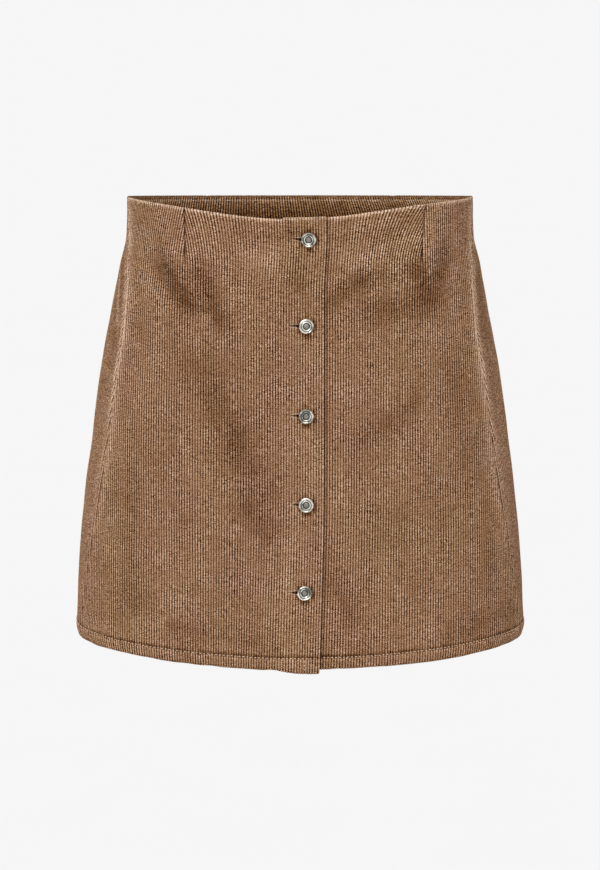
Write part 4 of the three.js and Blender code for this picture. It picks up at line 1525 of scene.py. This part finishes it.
def button_finish():
    """Plated metal, tarnished, dark in the groove and the sunk middle."""

    def build(tree, spot):
        look = bpy.context.scene.skirt_button
        ring = node(tree, "ShaderNodeAttribute", attribute_name="ring").outputs["Fac"]
        sunk = [calc(tree, "COMPARE", ring, at, width) for at, width in ((0.395, 0.065), (0.675, 0.038))]
        middle = calc(tree, "LESS_THAN", ring, 0.35)
        dark = calc(tree, "MAXIMUM", *sunk)
        dark = calc(tree, "MAXIMUM", dark, calc(tree, "MULTIPLY", middle, 0.74))
        tarnish = ranged(tree, speckle(tree, spot, (160, 160, 160), 3.0, 0.65), 0.44, 0.58)
        dark = calc(tree, "MAXIMUM", dark, calc(tree, "MULTIPLY", tarnish, 0.8))
        scuffs = speckle(tree, spot, (1800, 1800, 1800), 3.0)
        return {
            "Base Color": blend(tree, dark, (*look.metal, 1), (*look.recess, 1)),
            "Metallic": 1.0,
            "Roughness": ranged(tree, calc(tree, "ADD", scuffs, dark), 0.3, 1.4, 0.24, 0.55),
            "Normal": bumped(tree, 0.25, 0.06 * MM, scuffs),
        }

    return plain_finish("Button metal", build)


def tack_finish():
    """Dull metal."""

    def build(tree, spot):
        tarnish = speckle(tree, spot, (500, 500, 500), 4.0, 0.6)
        return {
            "Base Color": blend(tree, tarnish, (0.42, 0.38, 0.32, 1), (0.6, 0.57, 0.5, 1)),
            "Metallic": 1.0,
            "Roughness": ranged(tree, tarnish, 0.3, 0.7, 0.3, 0.5),
            "Normal": bumped(tree, 0.2, 0.05 * MM, tarnish),
        }

    return plain_finish("Tack metal", build)


def floor_finish():
    """A pale studio floor."""

    def build(tree, spot):
        grain = speckle(tree, spot, (3, 3, 3))
        return {
            "Base Color": blend(tree, grain, (0.93, 0.93, 0.93, 1), (0.94, 0.94, 0.94, 1)),
            "Roughness": 0.9,
            "Specular IOR Level": 0.0,
        }

    return plain_finish("Studio floor", build)


# ---------------------------------------------------------------- steps


def carried(piece, slot, *nodes):
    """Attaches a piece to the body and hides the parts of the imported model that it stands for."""
    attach(piece, BODY)
    if nodes:
        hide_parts(*nodes)
    return piece


def placed_threads(name, places):
    """One piece of sewing, from the places of its stitches."""
    piece = carried(joined_copies(name, thread_model(), places), "corduroy")
    piece.data.materials.append(thread_finish())
    return piece


class SKIRT_OT_panels(Operator):
    """Make the two fronts and the back, with their hems, darts and plackets"""

    bl_idname = "skirt.panels"
    bl_label = "Fronts and back"

    def execute(self, context):
        for panel in (*FRONT_NODES, "back"):
            piece, flat, area = make_panel(panel)
            carried(piece, "corduroy", panel)
            for finish in (ribbed("Corduroy", cord().crest, 0.07), wrong_side()):
                piece.data.materials.append(finish)
            sewing = [placed_threads("hem_stitches_" + panel, hem_stitches(panel))]
            if panel == "front_right":
                sewing.append(placed_threads("placket_stitches", placket_stitches()))
                sewing.append(placed_threads("buttonhole_stitches", buttonhole_bars()))
        return {"FINISHED"}


class SKIRT_OT_facings(Operator):
    """Make the narrow facings inside the waist"""

    bl_idname = "skirt.facings"
    bl_label = "Waist facings"

    def execute(self, context):
        for panel in (*FRONT_NODES, "back"):
            piece, flat, area = make_facing(panel)
            carried(piece, "facing_corduroy", "facing_" + panel)
            # painted shade: the facings get a darker copy of the corduroy, with no sheen
            for finish in (ribbed("Facing corduroy", cord().shaded, 0.0), wrong_side()):
                piece.data.materials.append(finish)
        return {"FINISHED"}


class SKIRT_OT_buttons(Operator):
    """Make the five tack buttons and finish the tacks behind them"""

    bl_idname = "skirt.buttons"
    bl_label = "Buttons"

    def execute(self, context):
        for i in range(len(BUTTON_DROPS)):
            piece = joined_copies(f"tack_button_{i + 1}", button_model(), [button_place(i)])
            carried(piece, "button_metal", f"button_{i + 1}")
            piece.data.materials.append(button_finish())
        for name in TACK_NODES:
            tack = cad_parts[name]
            tack.data.materials.clear()
            tack.data.materials.append(tack_finish())
        return {"FINISHED"}


class SKIRT_OT_stage(Operator):
    """Set the floor, the even light and the camera"""

    bl_idname = "skirt.stage"
    bl_label = "Stage"

    def execute(self, context):
        look = context.scene.skirt_stage
        bpy.ops.object.select_all(action="DESELECT")
        bpy.ops.mesh.primitive_plane_add(size=160, location=(0, 0, -look.floor))
        floor = context.object
        floor.name = "studio_floor"
        floor.data.materials.append(floor_finish())

        world = context.scene.world or bpy.data.worlds.new("Studio")
        context.scene.world = world
        world.use_nodes = True
        tree = world.node_tree
        tree.nodes.clear()
        seen = node(tree, "ShaderNodeBackground", {"Color": (*look.pale, 1)})
        around = node(tree, "ShaderNodeBackground", {"Color": (1, 1, 1, 1), "Strength": look.ambient})
        straight = node(tree, "ShaderNodeLightPath").outputs["Is Camera Ray"]
        both = node(tree, "ShaderNodeMixShader", {0: straight, 1: around.outputs[0], 2: seen.outputs[0]})
        node(tree, "ShaderNodeOutputWorld", {"Surface": both.outputs[0]})

        bpy.ops.object.light_add(type="SUN", rotation=(math.radians(48), 0, math.radians(-16)))
        sun = context.object
        sun.data.energy = look.lamp
        sun.data.angle = math.radians(26)

        bpy.ops.object.camera_add(location=(0, -2.9544, 0.3099))
        camera = context.object
        aim = Vector((0, 0, -0.211)) - camera.location
        camera.rotation_euler = aim.to_track_quat("-Z", "Y").to_euler()
        camera.data.lens = 141.07
        camera.data.sensor_width = 36
        camera.data.clip_end = 300
        context.scene.camera = camera
        context.scene.view_settings.view_transform = "Standard"
        return {"FINISHED"}


STEPS = (SKIRT_OT_panels, SKIRT_OT_facings, SKIRT_OT_buttons, SKIRT_OT_stage)


class SKIRT_PT_sidebar(Panel):
    """The skirt's sizes, colours and steps"""

    bl_label = "Corduroy skirt"
    bl_idname = "SKIRT_PT_sidebar"
    bl_space_type = "VIEW_3D"
    bl_region_type = "UI"
    bl_category = "Skirt"

    def draw(self, context):
        for name in SETTINGS:
            box = self.layout.box()
            group = getattr(context.scene, name)
            for field in SETTINGS[name].__annotations__:
                box.prop(group, field)
        for step in STEPS:
            self.layout.operator(step.bl_idname)


def register():
    """Adds the classes and the settings."""
    for made in (*SETTINGS.values(), *STEPS, SKIRT_PT_sidebar):
        bpy.utils.register_class(made)
    for name, group in SETTINGS.items():
        setattr(bpy.types.Scene, name, PointerProperty(type=group))


def unregister():
    """Takes them away again."""
    for name in SETTINGS:
        delattr(bpy.types.Scene, name)
    for made in (SKIRT_PT_sidebar, *reversed(STEPS), *reversed(SETTINGS.values())):
        bpy.utils.unregister_class(made)


def main():
    """Runs every step."""
    register()
    bpy.ops.skirt.panels()
    bpy.ops.skirt.facings()
    bpy.ops.skirt.buttons()
    bpy.ops.skirt.stage()


if __name__ == "__main__":
    main()
